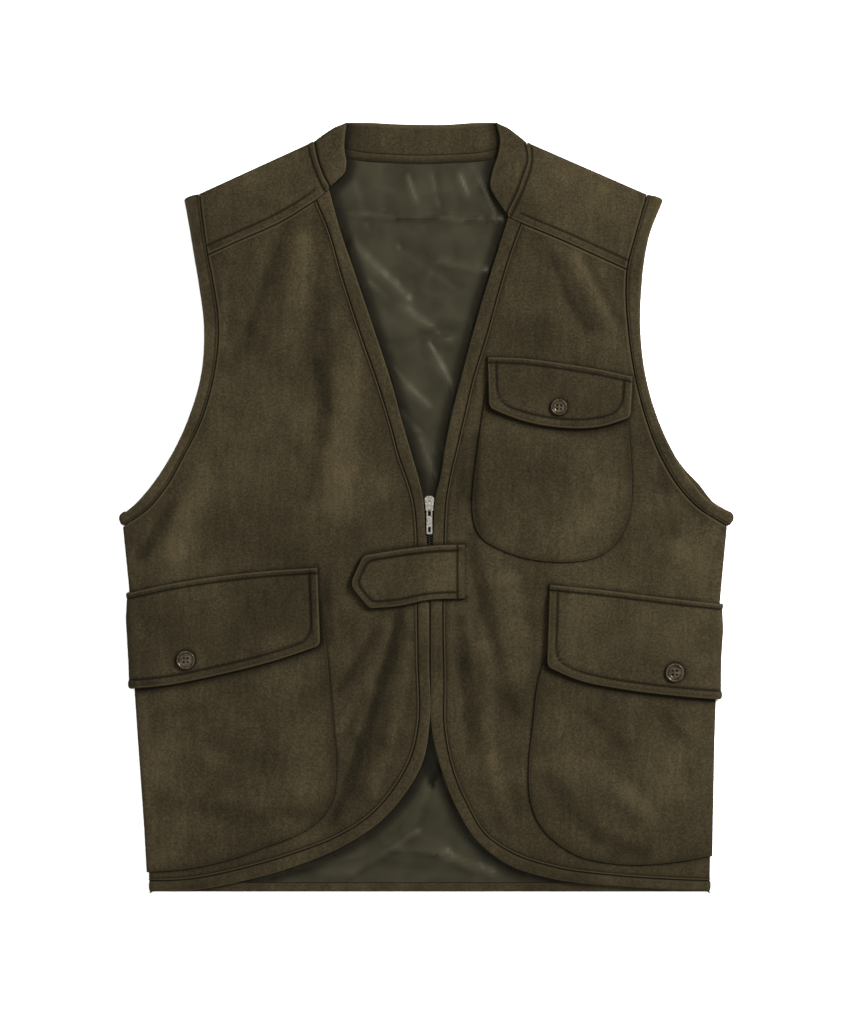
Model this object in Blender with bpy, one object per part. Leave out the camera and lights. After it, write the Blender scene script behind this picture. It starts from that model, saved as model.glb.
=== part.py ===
# A suede vest laid flat on its back with its front upwards.
# Sizes are in millimetres and become metres where a mesh is made. +X is the wearer's left, +Y runs to the
# collar and +Z is up from the surface that the vest lies on. "Right" and "left" are always the wearer's.

import math
from collections import namedtuple

import bmesh
import bpy
import numpy as np

MM = 0.001

# Cloth thicknesses
WALL = 1.6
LINING_WALL = 1.0
POCKET_WALL = 1.5
FLAP_WALL = 2.4
TAB_WALL = 2.8
BAND = 2.5
TAPE_WALL = 0.7

# Room between the layers
GAP = 0.3
CLEAR = 0.5
LOFT = 1.5
POCKET_PUFF = 1.2
YOKE_SEAM_GAP = 0.36            # measured up Y, as the yoke seam slants
LINING_TOP = WALL + GAP + LINING_WALL
FRONT_FLOOR = LINING_TOP + GAP

# How the cloth turns over at the side seams and shoulders
SEAM_HEIGHT = 2.6
ROLL = 3.5
ROLL_ANGLES = (0, 30, 60, 90)
FADE = 20.0
LINING_INSET = 7.0
LINING_SIDE_TOP = -40.0
FOLD_ANGLES = (30, 70, 110, 150)
FOLD_CENTRE = (FRONT_FLOOR + BAND) / 2
FOLD_RADIUS = (FRONT_FLOOR - BAND) / 2
FOLD_EASE = 12.5                # how far a folded band stays level before it climbs with the front

# Side edges of the body by height: x of the right and of the left
SideRow = namedtuple("SideRow", "y right left")
SIDE_ROWS = (
    SideRow(-18.2, -279.3, 276.5),
    SideRow(-71, -274.0, 271.5),
    SideRow(-141, -268.5, 265.5),
    SideRow(-215, -263.5, 263.0),
    SideRow(-292, -258.0, 261.5),
    SideRow(-354, -254.5, 260.5),
)

# Outer ends of the shoulder lines at the neck
NECK_POINT = {"right": (-104.5, 335.6), "left": (93.5, 334.8)}

# Sections across a band: where it is sewn on, and its free edge
Section = namedtuple("Section", "seam_x seam_y edge_x edge_y")

# Armhole bands, from the underarm up to the shoulder
ARMHOLE = {
    "right": (
        Section(-278, -17.5, -276, -4.5),
        Section(-258, -4, -265, 5),
        Section(-240, 17, -250, 23),
        Section(-224, 45, -233, 50),
        Section(-207, 79, -218, 83),
        Section(-195.5, 120, -207, 122),
        Section(-191, 165, -204.5, 165),
        Section(-196, 205, -209, 203),
        Section(-201, 231, -213.5, 230),
        Section(-205, 258, -218, 257),
        Section(-208.3, 285, -222.3, 280.3),
    ),
    "left": (
        Section(275.2, -17.3, 278.3, -4.3),
        Section(252, -3, 259, 6),
        Section(234, 15, 243, 24),
        Section(215.5, 45, 226, 51),
        Section(201.5, 81, 211, 85),
        Section(191.5, 120, 201, 122),
        Section(185, 165, 196.5, 165),
        Section(183, 200, 197.5, 200),
        Section(184, 217.5, 199, 217),
        Section(191.5, 248, 204.5, 248),
        Section(201.8, 284.5, 216.8, 280),
    ),
}
YOKE_ROW = 8

# How far the back armhole shows past the front one, and at which row most, over how many rows
BACK_SHOW = {"right": 0.0, "left": 4.2}
BACK_SHOW_ROW = 1.6
BACK_SHOW_SPREAD = 0.8

# Front edge bands, from the side seam along the hem, up the zip and up the neckline to the yoke
FRONT_EDGE = {
    "right": (
        Section(-254.5, -344, -254.5, -353),
        Section(-222, -342.5, -220, -352.8),
        Section(-162, -330.5, -158, -341.5),
        Section(-122.8, -318.8, -118, -329.8),
        Section(-82, -303, -76.5, -312),
        Section(-53, -284.5, -45.5, -292),
        Section(-31, -260, -21, -265.5),
        Section(-14, -229, -2.5, -232),
        Section(-7.5, -200, 3, -198),
        Section(-8, -141, 2.2, -141),
        Section(-8.7, -86, 2.2, -86),
        Section(-8.7, -49, 1.2, -49),
        Section(-9.2, -21, -0.6, -21),
        Section(-12.4, 6, -3, 7),
        Section(-17, 22.5, -7, 25),
        Section(-24.4, 43, -13, 46),
        Section(-33.6, 77, -23, 80),
        Section(-42.8, 107, -31, 110),
        Section(-61.2, 160, -49, 165),
        Section(-79.6, 217.5, -68, 221),
        Section(-88.8, 250, -79, 253),
        Section(-101.5, 281, -89.5, 291),
    ),
    "left": (
        Section(260.6, -344, 260.6, -353),
        Section(218, -342, 217, -351.3),
        Section(175, -339, 173, -348.5),
        Section(115, -330.5, 111, -341),
        Section(79.5, -318.5, 73, -328),
        Section(54, -301, 46, -306.5),
        Section(37.3, -273.5, 27.5, -277),
        Section(23.5, -240, 13, -240),
        Section(16.5, -204, 4.8, -204),
        Section(16.1, -160, 4, -160),
        Section(15.2, -104, 4, -104),
        Section(15.8, -49, 4.8, -49),
        Section(16.4, -21, 6.2, -21),
        Section(18, 6, 8, 7),
        Section(22, 29, 13, 28),
        Section(27.5, 52, 17, 54),
        Section(34, 80, 23, 84),
        Section(43.5, 120, 33, 123),
        Section(54.5, 155, 42.5, 159),
        Section(66, 197, 55, 202),
        Section(78, 236, 67, 240),
        Section(87, 260, 75, 265.5),
    ),
}
ZIP_FOOT_ROW = 8
ZIP_HEAD_ROW = 13
NECK_ROW = 21

# Collar, from the right front end round the back of the neck to the left front end
COLLAR_RIGHT = (
    Section(-88.8, 294, -75, 306),
    Section(-93.4, 302, -73.6, 314),
    Section(-99.8, 318.8, -75.5, 331),
    Section(-102.8, 333.2, -73.5, 353.4),
)
COLLAR_BACK = (
    Section(-102.8, 333.2, -73.5, 353.4),
    Section(-74, 320.6, -53, 353.4),
    Section(-27, 315.6, -24, 352),
    Section(17, 315.6, 16, 351.6),
    Section(64.9, 320.6, 46, 353.4),
    Section(91.3, 332.4, 64, 353.4),
)
COLLAR_LEFT = (
    Section(91.3, 332.4, 64, 353.4),
    Section(93, 318, 67.5, 337),
    Section(88.5, 304, 65.5, 323),
    Section(84, 291, 61, 309.6),
    Section(73.5, 269.5, 57.5, 293),
)

# Plan points of the seams and edges that no band follows
Point = namedtuple("Point", "x y")
YOKE_SEAM = {
    "right": (Point(-201, 231), Point(-171.6, 244.3), Point(-134.8, 260.8), Point(-101.5, 281)),
    "left": (Point(184, 217.5), Point(159.6, 228.6), Point(122.8, 245.2), Point(87, 260)),
}
BACK_HEM_Y = -346.0
BACK_HEM_EDGE_Y = -354.4

# Patch pockets: the foot runs inwards from the side or outer edge, and the inner edge runs up from its end
HIP_POCKET = {
    "right": {
        "foot": (Point(-254.9, -336), Point(-222, -333.5), Point(-182.6, -325.2), Point(-142, -310.5),
                 Point(-112.7, -299.5), Point(-93, -284)),
        "inner": (Point(-93, -284), Point(-84.5, -266), Point(-82.3, -240), Point(-86, -196.4),
                  Point(-90.6, -138.5), Point(-97, -85)),
        "side_top": -109.0,
    },
    "left": {
        "foot": (Point(261, -321.5), Point(230.5, -326.6), Point(199.2, -329.4), Point(165, -327.5),
                 Point(136.6, -320.6), Point(105, -297)),
        "inner": (Point(105, -297), Point(95.5, -274), Point(93.4, -240), Point(98, -196.4),
                  Point(102, -159.6), Point(105.5, -101)),
        "side_top": -119.0,
    },
}
CHEST_POCKET = {
    "foot": (Point(176, -34), Point(160, -47), Point(130, -51.5), Point(87, -47.4), Point(50, -32)),
    "outer": (Point(176, -34), Point(186, -12), Point(189.3, 14), Point(188, 45), Point(184, 102)),
    "inner": (Point(50, -32), Point(42.5, -15), Point(41.5, 6), Point(45.5, 43.7), Point(56.5, 119)),
}

# Pocket flaps: top sewn edge and free foot, both from the side (or outer end) inwards
HIP_FLAP = {
    "right": {
        "top": (Point(-273.4, -79), Point(-245, -72.5), Point(-208.4, -66), Point(-153, -59.3),
                Point(-99.8, -55.7)),
        "foot": (Point(-266.7, -167), Point(-245, -165), Point(-190, -154.5), Point(-134.8, -140.3),
                 Point(-97, -127.5)),
    },
    "left": {
        "top": (Point(270.0, -89), Point(214.8, -82.8), Point(159.6, -75.9), Point(112.7, -71.3)),
        "foot": (Point(264.2, -177), Point(233, -174.3), Point(178, -167.5), Point(139.4, -159.6),
                 Point(110, -147)),
    },
}
CHEST_FLAP = {
    "top": (Point(189.5, 119.5), Point(159.6, 126), Point(122.8, 132), Point(86, 136.6),
            Point(55.7, 137.5)),
    "foot": (Point(187.2, 81.4), Point(159.6, 72.7), Point(122.8, 71.8), Point(86, 78.7),
             Point(57, 90)),
}
FlapRow = namedtuple("FlapRow", "down off")     # share of the way down, height off the front panel
FLAP_ROWS = (
    FlapRow(0, CLEAR),
    FlapRow(0.08, CLEAR),
    FlapRow(0.27, 2.8),
    FlapRow(0.5, 3.2),
    FlapRow(0.75, 3.7),
    FlapRow(1, 4.4),
)

# The tab across the zip
TAB_TOP = (Point(-58.4, -44.6), Point(-24.4, -39.1), Point(12.4, -35), Point(35.4, -34.5))
TAB_FOOT = (Point(-52.9, -93.8), Point(-24.4, -91.5), Point(-1.4, -86.5), Point(35.4, -84.6))
TAB_TIP = Point(-70.8, -71.8)
TAB_CLIMB_START = 28.0          # distance from the zip where the tab starts to climb onto the bands
TAB_CLIMB = 10.0                # and how far the climb takes
TAB_LIFT = 2.4                  # how far the point stands off
TAB_LIFT_START = 12.0           # distance from the zip where it starts to stand off
TAB_LIFT_POWER = 1.5

# Folds of the fronts: a ridge (height over 0) or a trough along a line, with the half width of its slope
Fold = namedtuple("Fold", "x1 y1 x2 y2 width height")
FOLDS = (
    Fold(-130, 252, -158, 150, 18, -0.9),
    Fold(-116, 240, -126, 130, 17, 1.6),
    Fold(-99, 262, -98, 60, 15, -0.9),
    Fold(-70, 150, -82, -5, 24, 1.3),
    Fold(-228, 22, -256, -36, 15, -1.0),
    Fold(-206, 30, -232, -44, 18, 1.4),
    Fold(-38, -114, -60, -205, 14, 2.4),
    Fold(-26, -112, -46, -160, 12, -1.3),
    Fold(-46, -160, -68, -262, 12, -1.3),
    Fold(-17, -130, -36, -215, 11, 1.8),
    Fold(-36, -215, -52, -262, 12, 1.6),
    Fold(100, 242, 109, 199, 13, -0.8),
    Fold(118, 225, 146, 166, 14, -0.9),
    Fold(137, 222, 168, 168, 13, 1.3),
    Fold(33, 60, 31, 10, 9, -0.7),
    Fold(38, -46, 58, -104, 14, -0.9),
    Fold(74, -72, 76, -160, 20, 1.7),
    Fold(243, 12, 256, -22, 11, -0.8),
    Fold(222, 4, 232, -40, 18, 1.3),
    Fold(30, -123, 42, -215, 11, -0.8),
    Fold(52, -130, 58, -235, 14, 1.5),
)

# Zip
ZIP_X = 2.7
ZIP_TOP_Y = -4.5
ZIP_FOOT_Y = -200.0
TAPE_WIDTH = 26.0
CHAIN_WIDTH = 5.0
CHAIN_HEIGHT = 1.2

# Zip slider, from its foot to its head, and the bridge that holds the pull
SLIDER_FOOT_Y = -4.1
SLIDER_HEAD_Y = 9.7
SLIDER_FOOT_WIDTH = 7.0
SLIDER_HEAD_WIDTH = 8.4
SLIDER_BASE = 3.3
SLIDER_TOP = 6.5
SLIDER_FOOT_BEVEL = 0.8
SLIDER_HEAD_BEVEL = 1.8
SLIDER_TAPER = 2.0
BRIDGE_WIDTH = 2.2
BRIDGE_WALL = 1.3
BRIDGE_ROOM = 2.2
BRIDGE_FOOT_Y = -3.7
BRIDGE_HEAD_Y = 5.5
BRIDGE_BEVEL = 0.9
BRIDGE_ROOT = 1.0

# Pull: a flat plate with a slot round the bridge and a hole at its end, turning about the slot's crossbar
PULL_AXIS_Y = -1.0
PULL_AXIS_Z = SLIDER_TOP + BRIDGE_ROOM / 2
PULL_WALL = 1.2
PULL_WIDTH = 5.2
PULL_LENGTH = 24.3
PULL_SLOT = (0.6, 7.6)
PULL_SLOT_WIDTH = 2.8
PULL_HOLE = (17.6, 22.7)
PULL_HOLE_WIDTH = 2.4
PULL_BEVEL = 0.5
PULL_HOLE_BEVEL = 0.4
CUT_OVER = 1.0                  # how far a guide runs past the face that it cuts

# Buttons, with four holes
Button = namedtuple("Button", "name flap x y radius")
BUTTONS = (
    Button("button_chest", CHEST_FLAP, 121.3, 91.0, 7.5),
    Button("button_hip_right", HIP_FLAP["right"], -220.4, -140.5, 8.5),
    Button("button_hip_left", HIP_FLAP["left"], 227.3, -152.0, 8.5),
)
ButtonRow = namedtuple("ButtonRow", "reach height")     # share of the radius, height over the flap
BUTTON_PROFILE = (
    ButtonRow(0.72, 0.0),
    ButtonRow(1.0, 1.1),
    ButtonRow(0.98, 2.0),
    ButtonRow(0.84, 2.6),
    ButtonRow(0.66, 2.1),
    ButtonRow(0.58, 1.6),
)
BUTTON_SIDES = 20
BUTTON_HOLES = 4
BUTTON_HOLE = 0.9
BUTTON_HOLE_SIDES = 6
BUTTON_HOLE_SPREAD = 1.5
SEAT_SAMPLES = 8

# Cross sections of a band: share of the way across from the seam, share of the thickness
Ring = namedtuple("Ring", "across height")
PUFFED = (Ring(0, 0), Ring(0, 0.68), Ring(0.3, 1), Ring(0.7, 1), Ring(0.94, 0.78), Ring(1, 0.45),
          Ring(0.94, 0.08))
RESTING = (Ring(0, 0.1), Ring(0, 1), Ring(0.3, 1), Ring(0.7, 1), Ring(0.94, 1), Ring(1, 0.5),
           Ring(0.94, 0.05))

# How finely the pieces are divided
SIDE_STEPS = 10
ARM_STEPS = 12
YOKE_STEPS = 4
ACROSS_STEPS = 16
ZIP_STEPS = SIDE_STEPS + 1
BACK_SIDE_STEPS = 5
BACK_ARM_STEPS = 10
SHOULDER_STEPS = 3
NECK_STEPS = 6
POCKET_STEPS = 8
FLAP_STEPS = 8
TAB_STEPS = 12
FLAP_SAMPLES = 40
SHARP_ANGLE = 40
INWARD_GRADING = 0.85

Finish = namedtuple("Finish", "colour roughness metallic")
FINISHES = {
    "suede": Finish((0.055, 0.044, 0.028), 0.95, 0.0),
    "lining": Finish((0.047, 0.050, 0.034), 0.45, 0.0),
    "metal": Finish((0.62, 0.60, 0.55), 0.3, 1.0),
    "button": Finish((0.07, 0.06, 0.05), 0.3, 0.0),
    "tape": Finish((0.02, 0.018, 0.013), 0.8, 0.0),
}


class Line:
    """A smooth curve through the rows of a table, read by distance along it."""

    def __init__(self, rows):
        self.points = np.array(rows, dtype=float)
        runs = np.diff(self.points, axis=0)
        steps = np.linalg.norm(runs, axis=1)
        slopes = runs / steps[:, None]
        before = steps[:-1, None]
        after = steps[1:, None]
        self.knots = np.concatenate(([0.0], np.cumsum(steps)))
        self.tangents = np.vstack((slopes[:1], slopes))
        self.tangents[1:-1] = (slopes[:-1] * after + slopes[1:] * before) / (before + after)

    def at(self, along):
        """Values at the given distances along the curve."""
        cell = np.clip(np.searchsorted(self.knots, along, side="right") - 1, 0, len(self.knots) - 2)
        span = (self.knots[cell + 1] - self.knots[cell])[:, None]
        t = (along - self.knots[cell])[:, None] / span
        start = self.points[cell]
        end = self.points[cell + 1]
        return ((2 * t**3 - 3 * t**2 + 1) * start + (t**3 - 2 * t**2 + t) * span * self.tangents[cell]
                + (3 * t**2 - 2 * t**3) * end + (t**3 - t**2) * span * self.tangents[cell + 1])

    def even(self, count, first=0, last=-1):
        """Values at even distances from one row to another."""
        return self.at(np.linspace(self.knots[first], self.knots[last], count + 1))


def smooth(share):
    """A soft step from 0 to 1."""
    share = min(max(share, 0.0), 1.0)
    return share * share * (3 - 2 * share)


def side_of(x):
    return "right" if x < 0 else "left"


def side_x(side, y):
    """Where the body's side edge lies at a height."""
    rows = sorted(SIDE_ROWS, key=lambda row: row.y)
    return float(np.interp(y, [row.y for row in rows], [getattr(row, side) for row in rows]))


def across(section):
    """Unit plan direction from a section's seam to its edge."""
    way = np.array((section[2] - section[0], section[3] - section[1]))
    return way / np.linalg.norm(way)


def outward(section, inside):
    """Unit plan direction square to a section, away from a point inside the garment."""
    way = across(section)
    square = np.array((-way[1], way[0]))
    middle = np.array((section[0] + section[2], section[1] + section[3])) / 2
    return square if np.dot(square, middle - inside) > 0 else -square


def shoulder_tip(side):
    """Outer corner of the shoulder, level with the outside of the armhole band where it turns under."""
    end = ARMHOLE[side][-1]
    reach = FOLD_RADIUS + BAND
    return np.array(end[:2]) + outward(end, np.zeros(2)) * reach


def turned_edges(side):
    """The lines where front and back meet: the side seam and the shoulder."""
    down_side = [np.array((getattr(row, side), row.y)) for row in SIDE_ROWS]
    return down_side, [shoulder_tip(side), np.array(NECK_POINT[side])]


TURNED = {side: turned_edges(side) for side in ("right", "left")}
BODY_CENTRE = np.array((0.0, 60.0))


def turned_edge(x, y):
    """Distance from the nearest side seam or shoulder, and the plan direction inwards from it."""
    point = np.array((x, y))
    best = (1e9, np.zeros(2))
    for path in TURNED[side_of(x)]:
        for start, end in zip(path[:-1], path[1:]):
            run = end - start
            share = min(max(np.dot(point - start, run) / np.dot(run, run), 0.0), 1.0)
            away = point - (start + run * share)
            distance = np.linalg.norm(away)
            if distance > best[0]:
                continue
            square = np.array((-run[1], run[0])) / np.linalg.norm(run)
            if np.dot(square, BODY_CENTRE - start) < 0:
                square = -square
            best = (distance, away / distance if distance > 1e-6 and 0 < share < 1 else square)
    return best


def folds(x, y):
    """Height that the folds add at a plan point."""
    total = 0.0
    for fold in FOLDS:
        run = np.array((fold.x2 - fold.x1, fold.y2 - fold.y1))
        share = ((x - fold.x1) * run[0] + (y - fold.y1) * run[1]) / np.dot(run, run)
        share = min(max(share, 0.0), 1.0)
        distance = math.hypot(x - fold.x1 - run[0] * share, y - fold.y1 - run[1] * share)
        if distance < fold.width:
            total += fold.height * math.cos(math.pi * distance / fold.width / 2) ** 2
    return total


def rise(x, y):
    """Height of the fronts' inner face over the lining: none by a turned edge, then loft and folds."""
    distance, _ = turned_edge(x, y)
    return (LOFT + folds(x, y)) * smooth((distance - ROLL) / FADE)


def front_place(x, y, off):
    """A point off the front's outer face, which turns down at the side seams and shoulders."""
    distance, inwards = turned_edge(x, y)
    flat = max(1 - distance / ROLL, 0.0)
    steep = math.sqrt(1 - flat * flat)
    seam = SEAM_HEIGHT + GAP / 2
    face = FRONT_FLOOR + rise(x, y) + WALL
    plan = np.array((x, y)) - inwards * off * flat
    return plan[0], plan[1], seam + (face - seam + off) * steep


def back_place(x, y, off):
    """A point off the back's outer face, which rests on the floor and turns up at the same edges."""
    distance, inwards = turned_edge(x, y)
    flat = max(1 - distance / ROLL, 0.0)
    steep = math.sqrt(1 - flat * flat)
    seam = SEAM_HEIGHT - GAP / 2
    plan = np.array((x, y)) - inwards * off * flat
    return plan[0], plan[1], seam * (1 - steep) - off * steep


def tab_place(x, y, off):
    """A point off the fronts' bands and panels under the tab."""
    over_bands = smooth((TAB_CLIMB_START - abs(x - ZIP_X)) / TAB_CLIMB)
    seat = FRONT_FLOOR + rise(x, y) + WALL + (BAND - WALL) * over_bands
    return x, y, seat + off


def material(name):
    """The named finish as a material."""
    found = bpy.data.materials.get(name)
    if found:
        return found
    made = bpy.data.materials.new(name)
    made.use_nodes = True
    shader = made.node_tree.nodes["Principled BSDF"]
    finish = FINISHES[name]
    shader.inputs["Base Color"].default_value = (*finish.colour, 1.0)
    shader.inputs["Roughness"].default_value = finish.roughness
    shader.inputs["Metallic"].default_value = finish.metallic
    made.diffuse_color = (*finish.colour, 1.0)
    return made


def add_object(name, points, faces, finish, origin=(0.0, 0.0, 0.0)):
    """An object from points in millimetres, with its faces turned outwards."""
    mesh = bpy.data.meshes.new(name)
    shape = bmesh.new()
    verts = [shape.verts.new([(p - o) * MM for p, o in zip(point, origin)]) for point in points]
    for face in faces:
        shape.faces.new([verts[index] for index in face])
    bmesh.ops.recalc_face_normals(shape, faces=shape.faces)
    shape.to_mesh(mesh)
    shape.free()
    mesh.shade_smooth()
    mesh.set_sharp_from_angle(angle=math.radians(SHARP_ANGLE))
    mesh.materials.append(material(finish))
    made = bpy.data.objects.new(name, mesh)
    made.location = [value * MM for value in origin]
    bpy.context.collection.objects.link(made)
    return made


def share_along(points):
    steps = np.linalg.norm(np.diff(points, axis=0), axis=1)
    run = np.concatenate(([0.0], np.cumsum(steps)))
    return run / run[-1]


def fill(foot, top, outer, inner):
    """Plan points inside four edges: foot and top run inwards, outer and inner run upwards."""
    foot, top, outer, inner = (np.array(edge, dtype=float)[:, :2] for edge in (foot, top, outer, inner))
    foot_share, top_share, outer_share, inner_share = map(share_along, (foot, top, outer, inner))
    plan = np.empty((len(outer), len(foot), 2))
    for j in range(len(outer)):
        level = (outer_share[j] + inner_share[j]) / 2
        for i in range(len(foot)):
            u = (1 - level) * foot_share[i] + level * top_share[i]
            v = (1 - u) * outer_share[j] + u * inner_share[j]
            sides = (1 - u) * outer[j] + u * inner[j]
            ends = (1 - v) * foot[i] + v * top[i]
            corners = ((1 - u) * ((1 - v) * foot[0] + v * top[0]) + u * ((1 - v) * foot[-1] + v * top[-1]))
            plan[j, i] = sides + ends - corners
    return plan


def sheet(name, plan, place, low, high, finish="suede"):
    """A wall of cloth over a grid of plan points, between two distances off a face."""
    rows, columns = plan.shape[:2]
    low = np.broadcast_to(low, (rows, columns))
    high = np.broadcast_to(high, (rows, columns))
    points = []
    for offs in (high, low):
        for j in range(rows):
            for i in range(columns):
                points.append(place(plan[j, i, 0], plan[j, i, 1], offs[j, i]))
    under = rows * columns

    def at(j, i):
        return j * columns + i

    faces = []
    for j in range(rows - 1):
        for i in range(columns - 1):
            cell = (at(j, i), at(j, i + 1), at(j + 1, i + 1), at(j + 1, i))
            faces.append(cell)
            faces.append([index + under for index in reversed(cell)])
    rim = [at(0, i) for i in range(columns)] + [at(j, columns - 1) for j in range(1, rows)]
    rim += [at(rows - 1, i) for i in range(columns - 2, -1, -1)]
    rim += [at(j, 0) for j in range(rows - 2, 0, -1)]
    for here, there in zip(rim, rim[1:] + rim[:1]):
        faces.append((there, here, here + under, there + under))
    return add_object(name, points, faces, finish)


def section_points(section, rings):
    """Plan points across a section, starting a gap away from its seam."""
    seam = np.array(section[:2]) + across(section) * GAP
    edge = np.array(section[2:])
    return [seam + (edge - seam) * ring.across for ring in rings]


def placed_ring(section, place, base, rings):
    """A band's ring of points off a face, from the height of its inner side."""
    plan = section_points(section, rings)
    return [place(spot[0], spot[1], base + BAND * ring.height) for spot, ring in zip(plan, rings)]


def level_ring(section, base, rings, way=1):
    """A band's ring of points stacked straight up (or down) from a height."""
    plan = section_points(section, rings)
    points = []
    for spot, ring in zip(plan, rings):
        points.append((spot[0], spot[1], base(spot[0], spot[1]) + way * BAND * ring.height))
    return points


def folded_rings(section, outwards, downwards=True):
    """Rings of a band where it turns over from the front to the back, or from the back to the front."""
    rings = []
    for angle in FOLD_ANGLES if downwards else reversed(FOLD_ANGLES):
        turn = math.radians(angle)
        under = (1 - math.cos(turn)) / 2
        blend = [Ring(a.across, a.height * (1 - under) + b.height * under) for a, b in zip(PUFFED, RESTING)]
        points = []
        for spot, ring in zip(section_points(section, blend), blend):
            reach = FOLD_RADIUS + BAND * ring.height
            flat = spot + outwards * reach * math.sin(turn)
            points.append((flat[0], flat[1], FOLD_CENTRE + reach * math.cos(turn)))
        rings.append(points)
    return rings


def band(name, rings, closed, finish="suede", origin=(0.0, 0.0, 0.0)):
    """A solid swept through its rings of points, with its ends capped unless it closes on itself."""
    size = len(rings[0])
    points = [point for ring in rings for point in ring]
    faces = []
    pairs = list(zip(range(len(rings) - 1), range(1, len(rings))))
    if closed:
        pairs.append((len(rings) - 1, 0))
    else:
        faces.append(list(range(size)))
        faces.append([len(points) - 1 - index for index in range(size)])
    for here, there in pairs:
        for k in range(size):
            after = (k + 1) % size
            faces.append((here * size + k, here * size + after, there * size + after, there * size + k))
    return add_object(name, points, faces, finish, origin)


def roll_distances():
    """Distances from a turned edge that follow its curve evenly."""
    return [ROLL * (1 - math.cos(math.radians(angle))) for angle in ROLL_ANGLES]


def inward_distances(length, count):
    """Distances along a seam from a turned edge: close over the turn, then graded to the far end."""
    shares = (np.arange(1, count + 1) / count) ** INWARD_GRADING
    return np.array(roll_distances() + [ROLL + (length - ROLL) * share for share in shares])


def up_side(side, low, high, count):
    """Points up the side edge between two heights."""
    return [(side_x(side, y), y) for y in np.linspace(low, high, count + 1)]


def armhole_sections(side, steps, first, last):
    return [Section(*row) for row in Line(ARMHOLE[side]).even(steps, first, last)]


def yoke_seam_points(side):
    """The yoke seam from the armhole to the neckline band, where the front's columns meet it."""
    line = Line(YOKE_SEAM[side])
    return line.at(inward_distances(line.knots[-1], ACROSS_STEPS))


def front_band_sections(side):
    """Sections of the front edge band: along the hem, up the zip and up the neckline."""
    line = Line(FRONT_EDGE[side])
    along_hem = inward_distances(line.knots[ZIP_FOOT_ROW], ACROSS_STEPS)
    up_zip = np.linspace(line.knots[ZIP_FOOT_ROW], line.knots[ZIP_HEAD_ROW], ZIP_STEPS + 1)
    up_neck = np.linspace(line.knots[ZIP_HEAD_ROW], line.knots[NECK_ROW], ARM_STEPS + 1)
    parts = [line.at(distances) for distances in (along_hem, up_zip, up_neck)]
    return [[Section(*row) for row in part] for part in parts]


def make_front(side):
    """Front panel, from the hem band up to the yoke and from the side and armhole in to the zip."""
    hem, zip_rows, neck = front_band_sections(side)
    foot = [row[:2] for row in hem]
    inner = [row[:2] for row in zip_rows] + [row[:2] for row in neck[1:]]
    underarm = SIDE_ROWS[0].y
    outer = up_side(side, hem[0].seam_y, underarm, SIDE_STEPS)
    outer += [row[:2] for row in armhole_sections(side, ARM_STEPS, 0, YOKE_ROW)]
    top = yoke_seam_points(side)
    sheet("front_" + side, fill(foot, top, outer, inner), front_place, -WALL, 0.0)


def make_front_band(side):
    """Band along the hem, the zip and the neckline of a front."""
    hem, zip_rows, neck = front_band_sections(side)
    rings = [placed_ring(row, front_place, -WALL, PUFFED) for row in hem + zip_rows[1:] + neck[1:]]
    band("front_band_" + side, rings, closed=False)


def collar_front(side):
    """Sections of the collar's front part, from the shoulder down to its end."""
    rows = COLLAR_RIGHT[::-1] if side == "right" else COLLAR_LEFT
    return [Section(*row) for row in Line(rows).even(YOKE_STEPS)]


def make_yoke(side):
    """Yoke, from its seam on the front up to the shoulder and from the armhole in to the collar."""
    seam = yoke_seam_points(side)
    kept = [seam[0], *seam[len(ROLL_ANGLES) - 1::2]]
    neck_end = FRONT_EDGE[side][-1]
    foot = [(x, y + YOKE_SEAM_GAP) for x, y in [*kept, neck_end[2:]]]
    reaches = sorted(set(np.round(roll_distances()[:-1], 6)), reverse=True)
    tip = shoulder_tip(side)
    neck = np.array(NECK_POINT[side])
    arm = [row[:2] for row in armhole_sections(side, YOKE_STEPS, YOKE_ROW, -1)]
    collar = [row[:2] for row in reversed(collar_front(side))]
    outer = [foot[0]] + arm[1:] + [tip + (arm[-1] - tip) * reach / ROLL for reach in reaches]
    inner = [foot[-1]] + collar[1:] + [neck + (collar[-1] - neck) * reach / ROLL for reach in reaches]
    shares = share_along(np.array(foot))
    top = [tip + (neck - tip) * share for share in shares]
    sheet("yoke_" + side, fill(foot, top, outer, inner), front_place, -WALL, 0.0)


def back_armhole(side):
    """Sections of the armhole band on the back, which may show a little past the front one."""
    line = Line(ARMHOLE[side])
    shown = []
    distances = np.linspace(0, line.knots[-1], BACK_ARM_STEPS + 1)
    for along, row in zip(distances, line.at(distances)):
        place = np.interp(along, line.knots, np.arange(len(line.knots)))
        push = BACK_SHOW[side] * math.exp(-((place - BACK_SHOW_ROW) / BACK_SHOW_SPREAD) ** 2)
        way = across(row)
        shown.append(Section(row[0], row[1], row[2] + way[0] * push, row[3] + way[1] * push))
    return shown


def make_armhole_band(side):
    """Band round an armhole: up the front, over at the shoulder, down the back, over at the underarm."""
    front = armhole_sections(side, ARM_STEPS, 0, YOKE_ROW)
    front += armhole_sections(side, YOKE_STEPS, YOKE_ROW, -1)[1:]
    ends = (np.array(front[0][:2]), np.array(front[-1][:2]))

    def base(x, y):
        nearest = min(math.dist((x, y), end) for end in ends)
        return FRONT_FLOOR + rise(x, y) * smooth((nearest - FOLD_EASE) / FADE)

    inside = np.array((0.0, front[len(front) // 2].seam_y))
    rings = [level_ring(row, base, PUFFED) for row in front]
    rings += folded_rings(front[-1], outward(front[-1], inside))
    back = back_armhole(side)
    rings += [level_ring(row, lambda x, y: BAND, RESTING, way=-1) for row in reversed(back)]
    rings += folded_rings(front[0], outward(front[0], inside), downwards=False)
    band("armhole_band_" + side, rings, closed=True)


def collar_back():
    return [Section(*row) for row in Line(COLLAR_BACK).even(NECK_STEPS)]


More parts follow.
